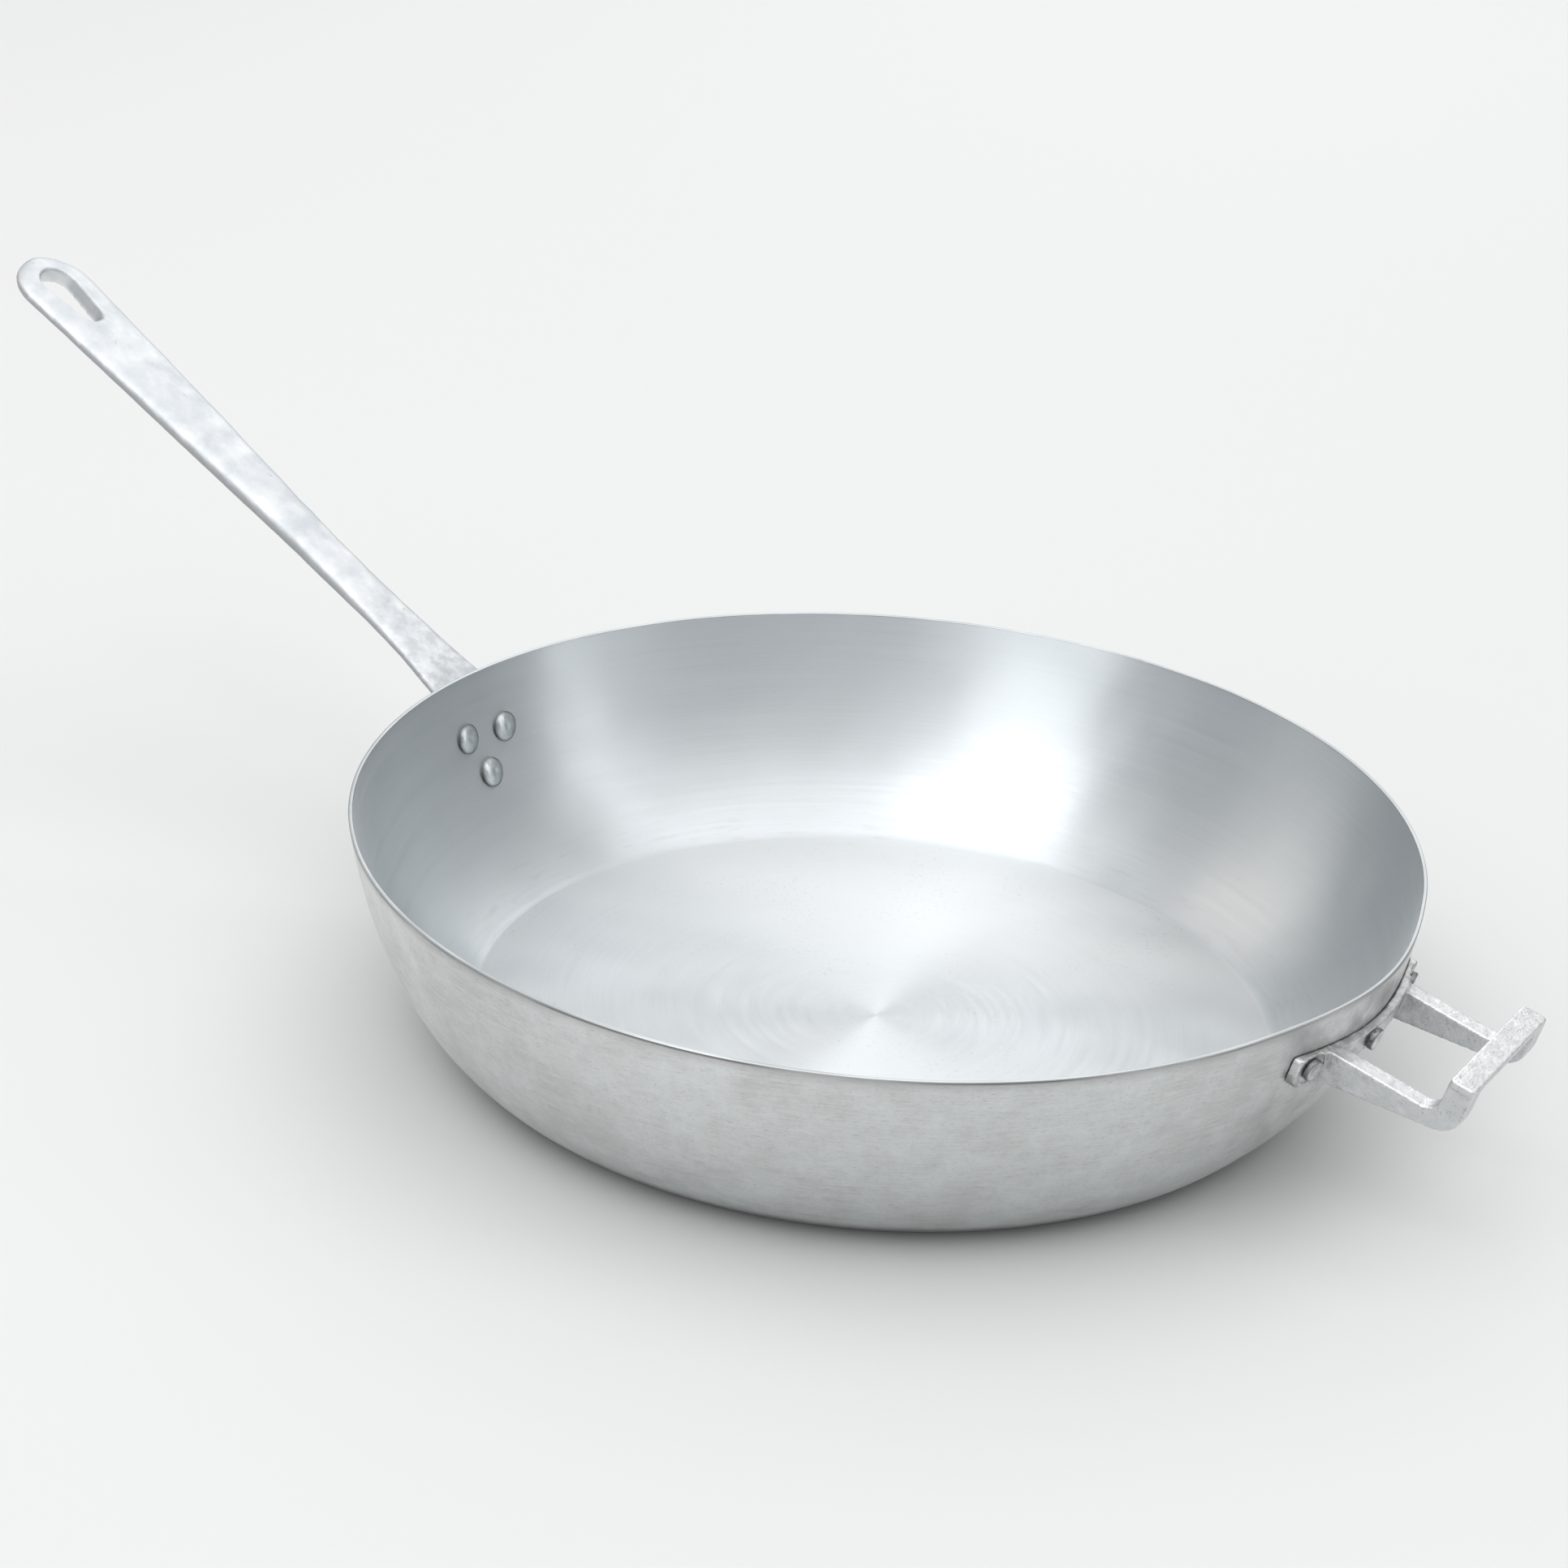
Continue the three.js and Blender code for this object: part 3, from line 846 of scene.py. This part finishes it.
# materials: small helpers for their nodes
def wire(tree, kind, inputs, **settings):
    node = tree.nodes.new(kind)
    for key, value in settings.items():
        setattr(node, key, value)
    for key, value in inputs.items():
        if isinstance(value, bpy.types.NodeSocket):
            tree.links.new(value, node.inputs[key])
        else:
            node.inputs[key].default_value = value
    return node


def math2(tree, how, first, second):
    return wire(tree, "ShaderNodeMath", {0: first, 1: second}, operation=how).outputs[0]


def vectorMath(tree, how, first, second=None):
    inputs = {0: first} if second is None else {0: first, 1: second}
    return wire(tree, "ShaderNodeVectorMath", inputs, operation=how).outputs


def spread(tree, value, low, high, newLow, newHigh):
    ranges = {"Value": value, "From Min": low, "From Max": high, "To Min": newLow, "To Max": newHigh}
    return wire(tree, "ShaderNodeMapRange", ranges).outputs["Result"]


def noise(tree, place, scale, detail, roughness=0.5):
    settings = {"Vector": place, "Scale": scale, "Detail": detail, "Roughness": roughness}
    return wire(tree, "ShaderNodeTexNoise", settings).outputs["Fac"]


def bumpMap(tree, height, strength, distance):
    settings = {"Height": height, "Strength": strength, "Distance": distance}
    return wire(tree, "ShaderNodeBump", settings)


def mixColour(tree, factor, first, second):
    node = wire(tree, "ShaderNodeMix", {0: factor}, data_type="RGBA")
    # sockets 6 and 7 take the two colours, and output 2 gives the mixed one
    for socket, value in ((node.inputs[6], first), (node.inputs[7], second)):
        if isinstance(value, bpy.types.NodeSocket):
            tree.links.new(value, socket)
        else:
            socket.default_value = (*value, 1)
    return node.outputs[2]


def newMetal(name):
    material = bpy.data.materials.new(name)
    material.use_nodes = True
    shader = material.node_tree.nodes["Principled BSDF"]
    shader.inputs["Metallic"].default_value = 1
    return material, material.node_tree, shader


# a darker band below the rim, darker patches round the helper handle, a broken line of painted shade at
# the rim's edge, and painted shade on the heel and underside
def darkMarksAndPaintedShade(tree, look, place, radius, height, colour):
    top = pan["height"]
    near = spread(tree, height, top - look["bandWidth"], top, 0, look["bandAndPatchDepth"])
    near.node.interpolation_type = "SMOOTHSTEP"
    helperPatch = noise(tree, place, look["helperPatchScale"], detail=4, roughness=0.6)
    helperPatch = spread(tree, helperPatch, *look["helperPatchRange"], 0, look["bandAndPatchDepth"])
    apart = vectorMath(tree, "DISTANCE", place, bulgeCentre)["Value"]
    helperPatch = math2(tree, "MULTIPLY", helperPatch, spread(tree, apart, *look["helperPatchReach"], 1, 0))
    colour = mixColour(tree, math2(tree, "MAXIMUM", near, helperPatch), colour, look["soil"])
    # painted shade: the heel and underside darkened towards the floor, less in the underside's middle
    heelShadeByHeight = spread(tree, height, 0, look["paintedHeelShadeHeight"], look["paintedHeelShadeDepth"], 0)
    heelShadeByHeight.node.interpolation_type = "SMOOTHSTEP"
    heelShadeByRadius = spread(tree, radius, look["heelShadeInnerRadius"], pan["heelStart"], look["heelShadeInnerShare"], 1)
    colour = mixColour(tree, math2(tree, "MULTIPLY", heelShadeByHeight, heelShadeByRadius), colour, look["paintedHeelShade"])
    # painted shade: a broken dark line at the rim's outer edge
    burr = spread(tree, height, top - look["rimEdgeShadeWidth"], top - look["rimEdgeShadeWidth"] / 2, 0, 1)
    broken = noise(tree, place, look["rimEdgeShadeScale"], detail=2)
    broken = spread(tree, broken, *look["rimEdgeShadeRange"], look["rimEdgeShadeLeast"], 1)
    return mixColour(tree, math2(tree, "MULTIPLY", burr, broken), colour, look["burr"])


# metal turned on a lathe: fine lines run round the axis, and highlights spread across them
def turnedMetal(name, look):
    material, tree, shader = newMetal(name)
    place = wire(tree, "ShaderNodeTexCoord", {}).outputs["Object"]
    parts = wire(tree, "ShaderNodeSeparateXYZ", {0: place}).outputs
    height = parts[2]
    flat = wire(tree, "ShaderNodeCombineXYZ", {0: parts[0], 1: parts[1]}).outputs[0]
    radius = vectorMath(tree, "LENGTH", flat)["Value"]
    around = vectorMath(tree, "NORMALIZE", flat)[0]
    profile = math2(tree, "MULTIPLY_ADD", height, look["heightShare"])
    tree.links.new(radius, profile.node.inputs[2])

    def lines(pitch, length):
        count = math2(tree, "MULTIPLY", profile, 1 / pitch)
        rise = wire(tree, "ShaderNodeCombineXYZ", {2: count}).outputs[0]
        scaled = {0: around, "Scale": length}
        stretch = wire(tree, "ShaderNodeVectorMath", scaled, operation="SCALE").outputs[0]
        return vectorMath(tree, "ADD", stretch, rise)[0]

    def marks(pattern, begin, depth):
        return spread(tree, pattern, begin, begin + look["markWidth"], 0, depth)

    fine = noise(tree, lines(look["finePitch"], look["fineCount"]), 1, detail=2)
    broad = noise(tree, lines(look["broadPitch"], look["broadCount"]), 1, detail=3)
    cloud = noise(tree, place, look["cloudScale"], look["cloudDetail"], look["cloudBreak"])
    nicks = noise(tree, lines(look["nickPitch"], look["nickCount"]), 1, detail=1)
    nicks = marks(nicks, look["nickStart"], look["nickDepth"])
    specks = marks(noise(tree, place, look["speckScale"], detail=2), look["speckStart"], 1)
    patches = noise(tree, place, look["speckScale"] / look["patchSpan"], detail=2)
    patches = spread(tree, patches, *look["patchRange"], 0, look["speckDepth"])
    mark = math2(tree, "MAXIMUM", nicks, math2(tree, "MULTIPLY", specks, patches))
    fineShare = math2(tree, "MULTIPLY", fine, look["fineShare"])
    broadShare = math2(tree, "MULTIPLY", broad, look["broadShare"])
    texture = math2(tree, "ADD", fineShare, broadShare)
    shade = spread(tree, texture, *look["lineRange"], 0, 1)
    colour = mixColour(tree, shade, look["dark"], look["light"])
    cloud = spread(tree, cloud, *look["cloudRange"], 0, look["cloudDepth"])
    colour = mixColour(tree, cloud, colour, look["cloud"])
    # painted reflection: the surface lighter beyond a line across it, towards one side
    if look["paintedReflectionTowards"]:
        towards = vectorMath(tree, "DOT_PRODUCT", place, look["paintedReflectionTowards"])["Value"]
        worn = spread(tree, towards, look["paintedReflectionStart"], look["paintedReflectionEnd"], 0, 1)
        colour = mixColour(tree, worn, colour, look["worn"])
    if look["stainDepth"]:
        low = spread(tree, height, look["stainTop"] / 2, look["stainTop"], look["stainDepth"], 0)
        streaks = lines(look["stainPitch"], look["stainCount"])
        streaks = noise(tree, streaks, 1, detail=4, roughness=0.65)
        streaks = spread(tree, streaks, *look["stainRange"], 0, 1)
        colour = mixColour(tree, math2(tree, "MULTIPLY", low, streaks), colour, look["stain"])
    colour = mixColour(tree, mark, colour, look["nick"])
    if look["bandAndPatchDepth"]:
        colour = darkMarksAndPaintedShade(tree, look, place, radius, height, colour)
    tree.links.new(colour, shader.inputs["Base Color"])
    rough = spread(tree, broad, *look["lineRange"], look["smooth"], look["rough"])
    tree.links.new(rough, shader.inputs["Roughness"])
    relief = math2(tree, "SUBTRACT", texture, math2(tree, "MULTIPLY", mark, look["markHeight"]))
    waves = bumpMap(tree, noise(tree, place, look["waveScale"], detail=1), 1, look["waveDepth"])
    bump = bumpMap(tree, relief, look["bump"], look["bumpHeight"])
    tree.links.new(waves.outputs[0], bump.inputs["Normal"])
    tree.links.new(bump.outputs[0], shader.inputs["Normal"])
    tangent = wire(tree, "ShaderNodeTangent", {}, direction_type="RADIAL", axis="Z")
    tree.links.new(tangent.outputs[0], shader.inputs["Tangent"])
    shader.inputs["Anisotropic"].default_value = look["stretch"]
    shader.inputs["Anisotropic Rotation"].default_value = look["stretchTurn"]
    return material


turnedLook = {
    "heightShare": 1.0,  # how much the lines' spacing follows the height, for walls
    "finePitch": 0.0007,
    "fineCount": 2.5,
    "fineShare": 0.6,
    "broadPitch": 0.003,
    "broadCount": 1.5,
    "broadShare": 0.4,
    "lineRange": (0.3, 0.7),  # values of each pattern, here and below, over which its effect sets in
    "cloudScale": 12,
    "cloudDepth": 0.5,
    "cloudDetail": 4,
    "cloudBreak": 0.6,
    "cloudRange": (0.4, 0.62),
    "waveScale": 16,
    "waveDepth": 0.0018,
    "nickPitch": 0.001,
    "nickCount": 60,
    "nickStart": 0.72,
    "nickDepth": 0.25,
    "speckScale": 900,
    "speckStart": 0.66,
    "speckDepth": 0.25,
    "patchSpan": 25,  # specks gather in patches, this many times coarser
    "patchRange": (0.45, 0.62),
    "markWidth": 0.06,
    "markHeight": 0.5,
    "paintedReflectionTowards": None,
    "stainDepth": 0,
    "bandAndPatchDepth": 0,
    "dark": (0.605, 0.635, 0.655),
    "light": (0.65, 0.68, 0.695),
    "cloud": (0.66, 0.69, 0.705),
    "nick": (0.5, 0.52, 0.53),
    "smooth": 0.39,
    "rough": 0.44,
    "bump": 0.06,
    "bumpHeight": 0.0002,
    "stretch": 0.86,
    "stretchTurn": 0.25,  # a quarter turn, so that highlights spread across the lines
}
insideWall = turnedMetal("insideWall", {
    **turnedLook,
    "stainDepth": 0.35,
    "stainTop": 0.022,
    "stainPitch": 0.004,
    "stainCount": 10,
    "stainRange": (0.54, 0.72),
    "stain": (0.53, 0.515, 0.49),
})
panFloor = turnedMetal("panFloor", {
    **turnedLook,
    "heightShare": 0.0,
    "dark": (0.575, 0.6, 0.615),
    "light": (0.62, 0.645, 0.655),
    "cloud": (0.635, 0.655, 0.665),
    "speckScale": 650,
    "speckStart": 0.62,
    "speckDepth": 0.5,
    # painted reflection: the pan's floor lighter over one side
    "paintedReflectionTowards": (-0.26, 0.97, 0),
    "paintedReflectionStart": 0.03,
    "paintedReflectionEnd": 0.1,
    "worn": (0.69, 0.705, 0.71),
    "smooth": 0.45,
    "rough": 0.52,
    "bump": 0.08,
    "stretch": 0.76,
})
outsideWall = turnedMetal("outsideWall", {
    **turnedLook,
    "finePitch": 0.00042,
    "fineCount": 26,
    "broadPitch": 0.0018,
    "broadCount": 12,
    "cloudScale": 26,
    "cloudDepth": 0.75,
    "cloudDetail": 7,
    "cloudBreak": 0.78,
    "nickPitch": 0.00045,
    "nickCount": 85,
    "nickStart": 0.64,
    "nickDepth": 0.5,
    "speckDepth": 0.5,
    "bandAndPatchDepth": 0.5,
    "bandWidth": 0.006,  # darker band below the rim
    "rimEdgeShadeWidth": 0.0018,  # broken line of painted shade at the rim's outer edge
    "rimEdgeShadeScale": 11,
    "rimEdgeShadeRange": (0.42, 0.58),
    "rimEdgeShadeLeast": 0.1,
    "burr": (0.2, 0.193, 0.19),
    "helperPatchScale": 55,
    "helperPatchRange": (0.42, 0.66),
    "helperPatchReach": (0.04, 0.095),  # distance from the helper handle over which they fade
    "paintedHeelShadeHeight": 0.0115,  # painted shade on the heel and underside
    "paintedHeelShadeDepth": 1.0,
    "heelShadeInnerRadius": 0.11,  # the underside's middle keeps this share of the painted shade
    "heelShadeInnerShare": 0.3,
    "dark": (0.52, 0.53, 0.53),
    "light": (0.72, 0.73, 0.725),
    "cloud": (0.755, 0.77, 0.775),
    "nick": (0.43, 0.44, 0.44),
    "soil": (0.3, 0.3, 0.295),
    "paintedHeelShade": (0.08, 0.08, 0.078),
    "smooth": 0.36,
    "rough": 0.48,
    "bump": 0.3,
    "stretch": 0.5,
})
rimEdge = turnedMetal("rimEdge", {
    **turnedLook,
    "dark": (0.39, 0.41, 0.42),
    "light": (0.47, 0.49, 0.5),
    "smooth": 0.36,
    "rough": 0.46,
    "stretch": 0.3,
})


def dressPan(piece):
    finishes = (outsideWall, rimEdge, insideWall, panFloor)
    for material in finishes:
        piece.data.materials.append(material)
    crease = innerWall(0)[0]
    downward = -0.5  # faces turned further down than this are outside
    for face in piece.data.polygons:
        radius = math.hypot(face.center.x, face.center.y)
        outward = face.normal.x * face.center.x + face.normal.y * face.center.y > 0
        if face.center.z > pan["height"] - pan["rimRound"]:
            finish = rimEdge
        elif face.center.z < pan["floorThickness"] and radius < crease and face.normal.z > 0:
            finish = panFloor
        elif outward or face.normal.z < downward:
            finish = outsideWall
        else:
            finish = insideWall
        face.material_index = finishes.index(finish)


dressPan(panBody)


# cast metal: blotches, a soft grain and scattered pits, with painted shade on faces turned down or
# sideways and in creases, sharp edges lighter by wear and a painted highlight, and darker patches
# towards the wall
def castMetal(name, look):
    material, tree, shader = newMetal(name)
    place = wire(tree, "ShaderNodeTexCoord", {}).outputs["Object"]
    shape = wire(tree, "ShaderNodeNewGeometry", {})
    facing = wire(tree, "ShaderNodeSeparateXYZ", {0: shape.outputs["Normal"]}).outputs[2]
    sharpness = shape.outputs["Pointiness"]
    blotch = noise(tree, place, look["blotchScale"], detail=4, roughness=0.6)
    grain = noise(tree, place, look["grainScale"], detail=3, roughness=0.6)
    specks = noise(tree, place, look["pitScale"], detail=2)
    specks = spread(tree, specks, look["pitStart"], look["pitStart"] + look["pitWidth"], 0, 1)
    patches = noise(tree, place, look["pitScale"] / look["patchSpan"], detail=1)
    pits = math2(tree, "MULTIPLY", specks, spread(tree, patches, *look["patchRange"], 0, 1))
    shade = spread(tree, blotch, *look["blotchRange"], 0, 1)
    colour = mixColour(tree, shade, look["dark"], look["light"])
    grained = spread(tree, grain, *look["grainRange"], 0, look["grainDepth"])
    colour = mixColour(tree, grained, colour, look["grain"])
    # painted shade: the side colour goes on faces turned down or sideways
    side = look["side"]
    # painted light: near the hanging hole the side shade gives way to a light colour on the hole's walls
    if look["eye"]:
        apart = vectorMath(tree, "SUBTRACT", place, eyeCentre)[0]
        apart = vectorMath(tree, "MULTIPLY", apart, look["eyeSquash"])[0]
        apart = vectorMath(tree, "LENGTH", apart)["Value"]
        side = mixColour(tree, spread(tree, apart, *look["eyeReach"], 1, 0), side, look["eye"])
    paintedSideShade = math2(tree, "ADD", facing, math2(tree, "MULTIPLY", blotch, look["paintedSideShadeBreak"]))
    paintedSideShade = spread(tree, paintedSideShade, look["paintedSideShadeLow"], look["paintedSideShadeHigh"], 1, 0)
    colour = mixColour(tree, paintedSideShade, colour, side)
    # lighter along sharp edges: partly edge wear, partly a painted highlight
    ridge = spread(tree, sharpness, *look["edgeWearAndHighlightRange"], 0, look["edgeWearAndHighlightDepth"])
    colour = mixColour(tree, ridge, colour, look["ridge"])
    # painted shade in creases and hollows, in the pits' colour
    paintedCreviceShade = spread(tree, sharpness, *look["paintedCreviceShadeRange"], 0, look["paintedCreviceShadeDepth"])
    colour = mixColour(tree, paintedCreviceShade, colour, look["pit"])
    # darker patches towards the pan's wall
    if look["wallwardDepth"]:
        flat = vectorMath(tree, "MULTIPLY", place, (1, 1, 0))[0]
        radius = vectorMath(tree, "LENGTH", flat)["Value"]
        depths = look["wallwardDepth"], look["wallwardLeast"]
        close = spread(tree, radius, look["wallwardStart"], look["wallwardEnd"], *depths)
        patchy = noise(tree, place, look["wallwardScale"], detail=4, roughness=0.65)
        patchy = spread(tree, patchy, *look["wallwardRange"], 0, 1)
        colour = mixColour(tree, math2(tree, "MULTIPLY", close, patchy), colour, look["grime"])
    colour = mixColour(tree, math2(tree, "MULTIPLY", pits, look["pitDepth"]), colour, look["pit"])
    # painted shadow ring round the edge of each rivet's head and tail
    if look["outlineDepth"]:
        reach = wire(tree, "ShaderNodeAttribute", {}, attribute_name="reach").outputs["Fac"]
        outline = spread(tree, reach, look["outlineStart"], look["outlineEnd"], 0, look["outlineDepth"])
        colour = mixColour(tree, outline, colour, look["outline"])
    tree.links.new(colour, shader.inputs["Base Color"])
    rough = spread(tree, blotch, *look["roughRange"], look["rough"], look["smooth"])
    tree.links.new(rough, shader.inputs["Roughness"])
    relief = math2(tree, "ADD", grain, blotch)
    relief = math2(tree, "SUBTRACT", relief, math2(tree, "MULTIPLY", pits, look["pitHeight"]))
    bump = bumpMap(tree, relief, look["bump"], look["bumpHeight"])
    tree.links.new(bump.outputs[0], shader.inputs["Normal"])
    return material


castLook = {
    "blotchScale": 70,
    "blotchRange": (0.36, 0.64),
    "grainScale": 500,
    "grainDepth": 0.4,
    "grainRange": (0.35, 0.7),
    "pitScale": 210,
    "pitStart": 0.68,
    "pitWidth": 0.07,
    "pitDepth": 0.35,
    "pitHeight": 0.4,
    "patchSpan": 6,  # pits gather in patches, this many times coarser
    "patchRange": (0.45, 0.6),
    "dark": (0.54, 0.565, 0.59),
    "light": (0.635, 0.65, 0.665),
    "grain": (0.59, 0.61, 0.63),
    # painted shade for faces turned down or sideways
    "side": (0.4, 0.41, 0.42),
    # painted light on the walls of the hanging hole
    "eye": None,
    "ridge": (0.7, 0.705, 0.71),
    # colour of the pits and of the painted shade in creases
    "pit": (0.3, 0.31, 0.32),
    "wallwardDepth": 0.6,
    "wallwardStart": 0.226,
    "wallwardEnd": 0.3,
    "wallwardLeast": 0.05,
    "wallwardScale": 160,
    "wallwardRange": (0.42, 0.6),
    "grime": (0.36, 0.37, 0.38),
    "outlineDepth": 0,
    "paintedSideShadeBreak": 0.15,
    "paintedSideShadeLow": -0.1,
    "paintedSideShadeHigh": 0.4,
    "edgeWearAndHighlightDepth": 0.3,
    "edgeWearAndHighlightRange": (0.505, 0.55),
    "paintedCreviceShadeDepth": 0.5,
    "paintedCreviceShadeRange": (0.495, 0.44),
    "smooth": 0.44,
    "rough": 0.58,
    "roughRange": (0.3, 0.7),
    "bump": 0.25,
    "bumpHeight": 0.0004,
}
longHandle.data.materials.append(castMetal("handleCast", {
    **castLook,
    "eye": (0.85, 0.86, 0.865),  # painted light on the walls of the hanging hole
    "eyeSquash": (0.5, 1, 0.5),
    "eyeReach": (0.013, 0.016),
}))
helperHandle.data.materials.append(castMetal("helperCast", {
    **castLook,
    "blotchScale": 150,
    "grainScale": 900,
    "grainDepth": 0.6,
    "pitScale": 1300,
    "pitStart": 0.56,
    "pitDepth": 0.4,
    "pit": (0.27, 0.27, 0.27),
    "wallwardDepth": 0.85,
    "wallwardStart": 0.222,
    "wallwardEnd": 0.24,
    "dark": (0.62, 0.635, 0.64),
    "light": (0.79, 0.795, 0.8),
    "grain": (0.65, 0.66, 0.665),
    "side": (0.62, 0.63, 0.64),
    "grime": (0.36, 0.355, 0.345),
    "ridge": (0.8, 0.8, 0.8),
    "edgeWearAndHighlightDepth": 0.6,
    "paintedCreviceShadeDepth": 0.9,
    "smooth": 0.36,
    "rough": 0.5,
    "bump": 0.4,
}))
rivetLook = {
    **castLook,
    "blotchScale": 240,
    "grainScale": 1500,
    "pitScale": 700,
    "pitDepth": 0.1,
    "dark": (0.52, 0.55, 0.565),
    "light": (0.68, 0.71, 0.725),
    "grain": (0.6, 0.63, 0.645),
    "side": (0.46, 0.48, 0.49),
    "outline": (0.16, 0.165, 0.17),
    "outlineDepth": 0.9,
    "outlineStart": 0.0055,
    "outlineEnd": 0.0067,
    "paintedSideShadeLow": -0.6,
    "paintedSideShadeHigh": -0.1,
    "wallwardDepth": 0,
    "edgeWearAndHighlightDepth": 0.3,
    "paintedCreviceShadeDepth": 0.9,
    "smooth": 0.26,
    "rough": 0.38,
    "bump": 0.12,
}
rivetHead = castMetal("rivetHead", rivetLook)
rivetTail = castMetal("rivetTail", {
    **rivetLook,
    "dark": (0.66, 0.68, 0.69),
    "light": (0.84, 0.85, 0.855),
    "wallwardDepth": 0.4,
    "wallwardStart": 0.228,
    "wallwardEnd": 0.24,
    "grime": (0.27, 0.268, 0.26),
    "outlineStart": 0.0038,
    "outlineEnd": 0.0048,
    "pitStart": 0.6,
    "pitDepth": 0.5,
    "bump": 0.35,
})


def dressRivet(piece, turn, height):
    piece.data.materials.append(rivetHead)
    piece.data.materials.append(rivetTail)
    toWall = wallPlace(turn, height)[0].inverted()
    for face in piece.data.polygons:
        face.material_index = int((toWall @ face.center).z > 0)


for node, piece in rivets.items():
    dressRivet(piece, *rivetList[node][:2])
print("materials:", len(bpy.data.materials))

# plain pale floor that keeps the shadow
floorLook = {
    "size": 40,
    "drop": 0.0004,
    "colour": (0.64, 0.65, 0.645),
    "roughness": 0.9,
    "lift": 0.024,
}


def makeFloor(look):
    clearSelection()
    bpy.ops.mesh.primitive_plane_add(size=look["size"], location=(0, 0, -look["drop"]))
    floor = bpy.context.object
    floor.name = "floor"
    settle(floor)
    material = bpy.data.materials.new("floorPaint")
    material.use_nodes = True
    tree = material.node_tree
    shader = tree.nodes["Principled BSDF"]
    shader.inputs["Base Color"].default_value = (*look["colour"], 1)
    shader.inputs["Roughness"].default_value = look["roughness"]
    shader.inputs["Specular IOR Level"].default_value = 0
    shader.inputs["Emission Color"].default_value = (1, 1, 1, 1)
    path = wire(tree, "ShaderNodeLightPath", {})
    seen = math2(tree, "MAXIMUM", path.outputs["Is Camera Ray"], path.outputs["Is Glossy Ray"])
    seen = math2(tree, "MAXIMUM", seen, path.outputs["Is Transmission Ray"])
    tree.links.new(math2(tree, "MULTIPLY", seen, look["lift"]), shader.inputs["Emission Strength"])
    floor.data.materials.append(material)


makeFloor(floorLook)

# soft studio light: a room that brightens upwards, and soft boxes
room = {"horizon": (0.215, 0.228, 0.24), "zenith": (1.1, 1.1, 1.1), "bend": 1.5}
# direction round the pan and height of each box in degrees, distance and sides in metres, and its power
softBoxes = {
    "overhead": {"turn": -20, "height": 82, "distance": 2.2, "wide": 3.0, "tall": 3.0, "power": 23},
    "front": {"turn": -93, "height": 38, "distance": 3.2, "wide": 1.77, "tall": 4.38, "power": 37},
    "back": {"turn": 114, "height": 32, "distance": 2.6, "wide": 2.0, "tall": 1.7, "power": 14},
    "right": {"turn": 25, "height": 24, "distance": 2.4, "wide": 0.8, "tall": 1.8, "power": 5.2},
    "left": {"turn": 182, "height": 31, "distance": 2.4, "wide": 1.3, "tall": 1.5, "power": 5},
}
warmth = {"left": (1, 0.9, 0.81)}


def makeRoom(look):
    world = bpy.data.worlds.new("room")
    bpy.context.scene.world = world
    world.use_nodes = True
    tree = world.node_tree
    facing = wire(tree, "ShaderNodeTexCoord", {}).outputs["Generated"]
    height = wire(tree, "ShaderNodeSeparateXYZ", {0: facing}).outputs[2]
    share = math2(tree, "POWER", math2(tree, "MAXIMUM", height, 0), look["bend"])
    colour = mixColour(tree, share, look["horizon"], look["zenith"])
    tree.links.new(colour, tree.nodes["Background"].inputs["Color"])


def makeSoftBox(name, box):
    lamp = bpy.data.lights.new(name, "AREA")
    lamp.shape = "RECTANGLE"
    lamp.size, lamp.size_y = box["wide"], box["tall"]
    lamp.energy = box["power"]
    lamp.color = warmth.get(name, (1, 1, 1))
    holder = bpy.data.objects.new(name, lamp)
    bpy.context.scene.collection.objects.link(holder)
    lean = math.radians(box["height"])
    towards = direction(box["turn"]) * math.cos(lean) + upward * math.sin(lean)
    holder.location = towards * box["distance"]
    holder.rotation_euler = holder.location.to_track_quat("Z", "Y").to_euler()
    holder.visible_camera = False


makeRoom(room)
for name, box in softBoxes.items():
    makeSoftBox(name, box)
bpy.context.scene.view_settings.view_transform = "Standard"
print("light:", len(softBoxes), "soft boxes")

# which CAD node each piece stands for, and the finish it takes
dressed = {"pan_body": (panBody, "spun_aluminium"), "long_handle": (longHandle, "cast_aluminium")}
dressed["helper_handle"] = (helperHandle, "cast_aluminium")
for node, piece in rivets.items():
    dressed[node] = (piece, "rivet_aluminium")
for node, (piece, slot) in dressed.items():
    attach(piece, "root")
    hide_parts(node)

print("pieces:", len(dressed))
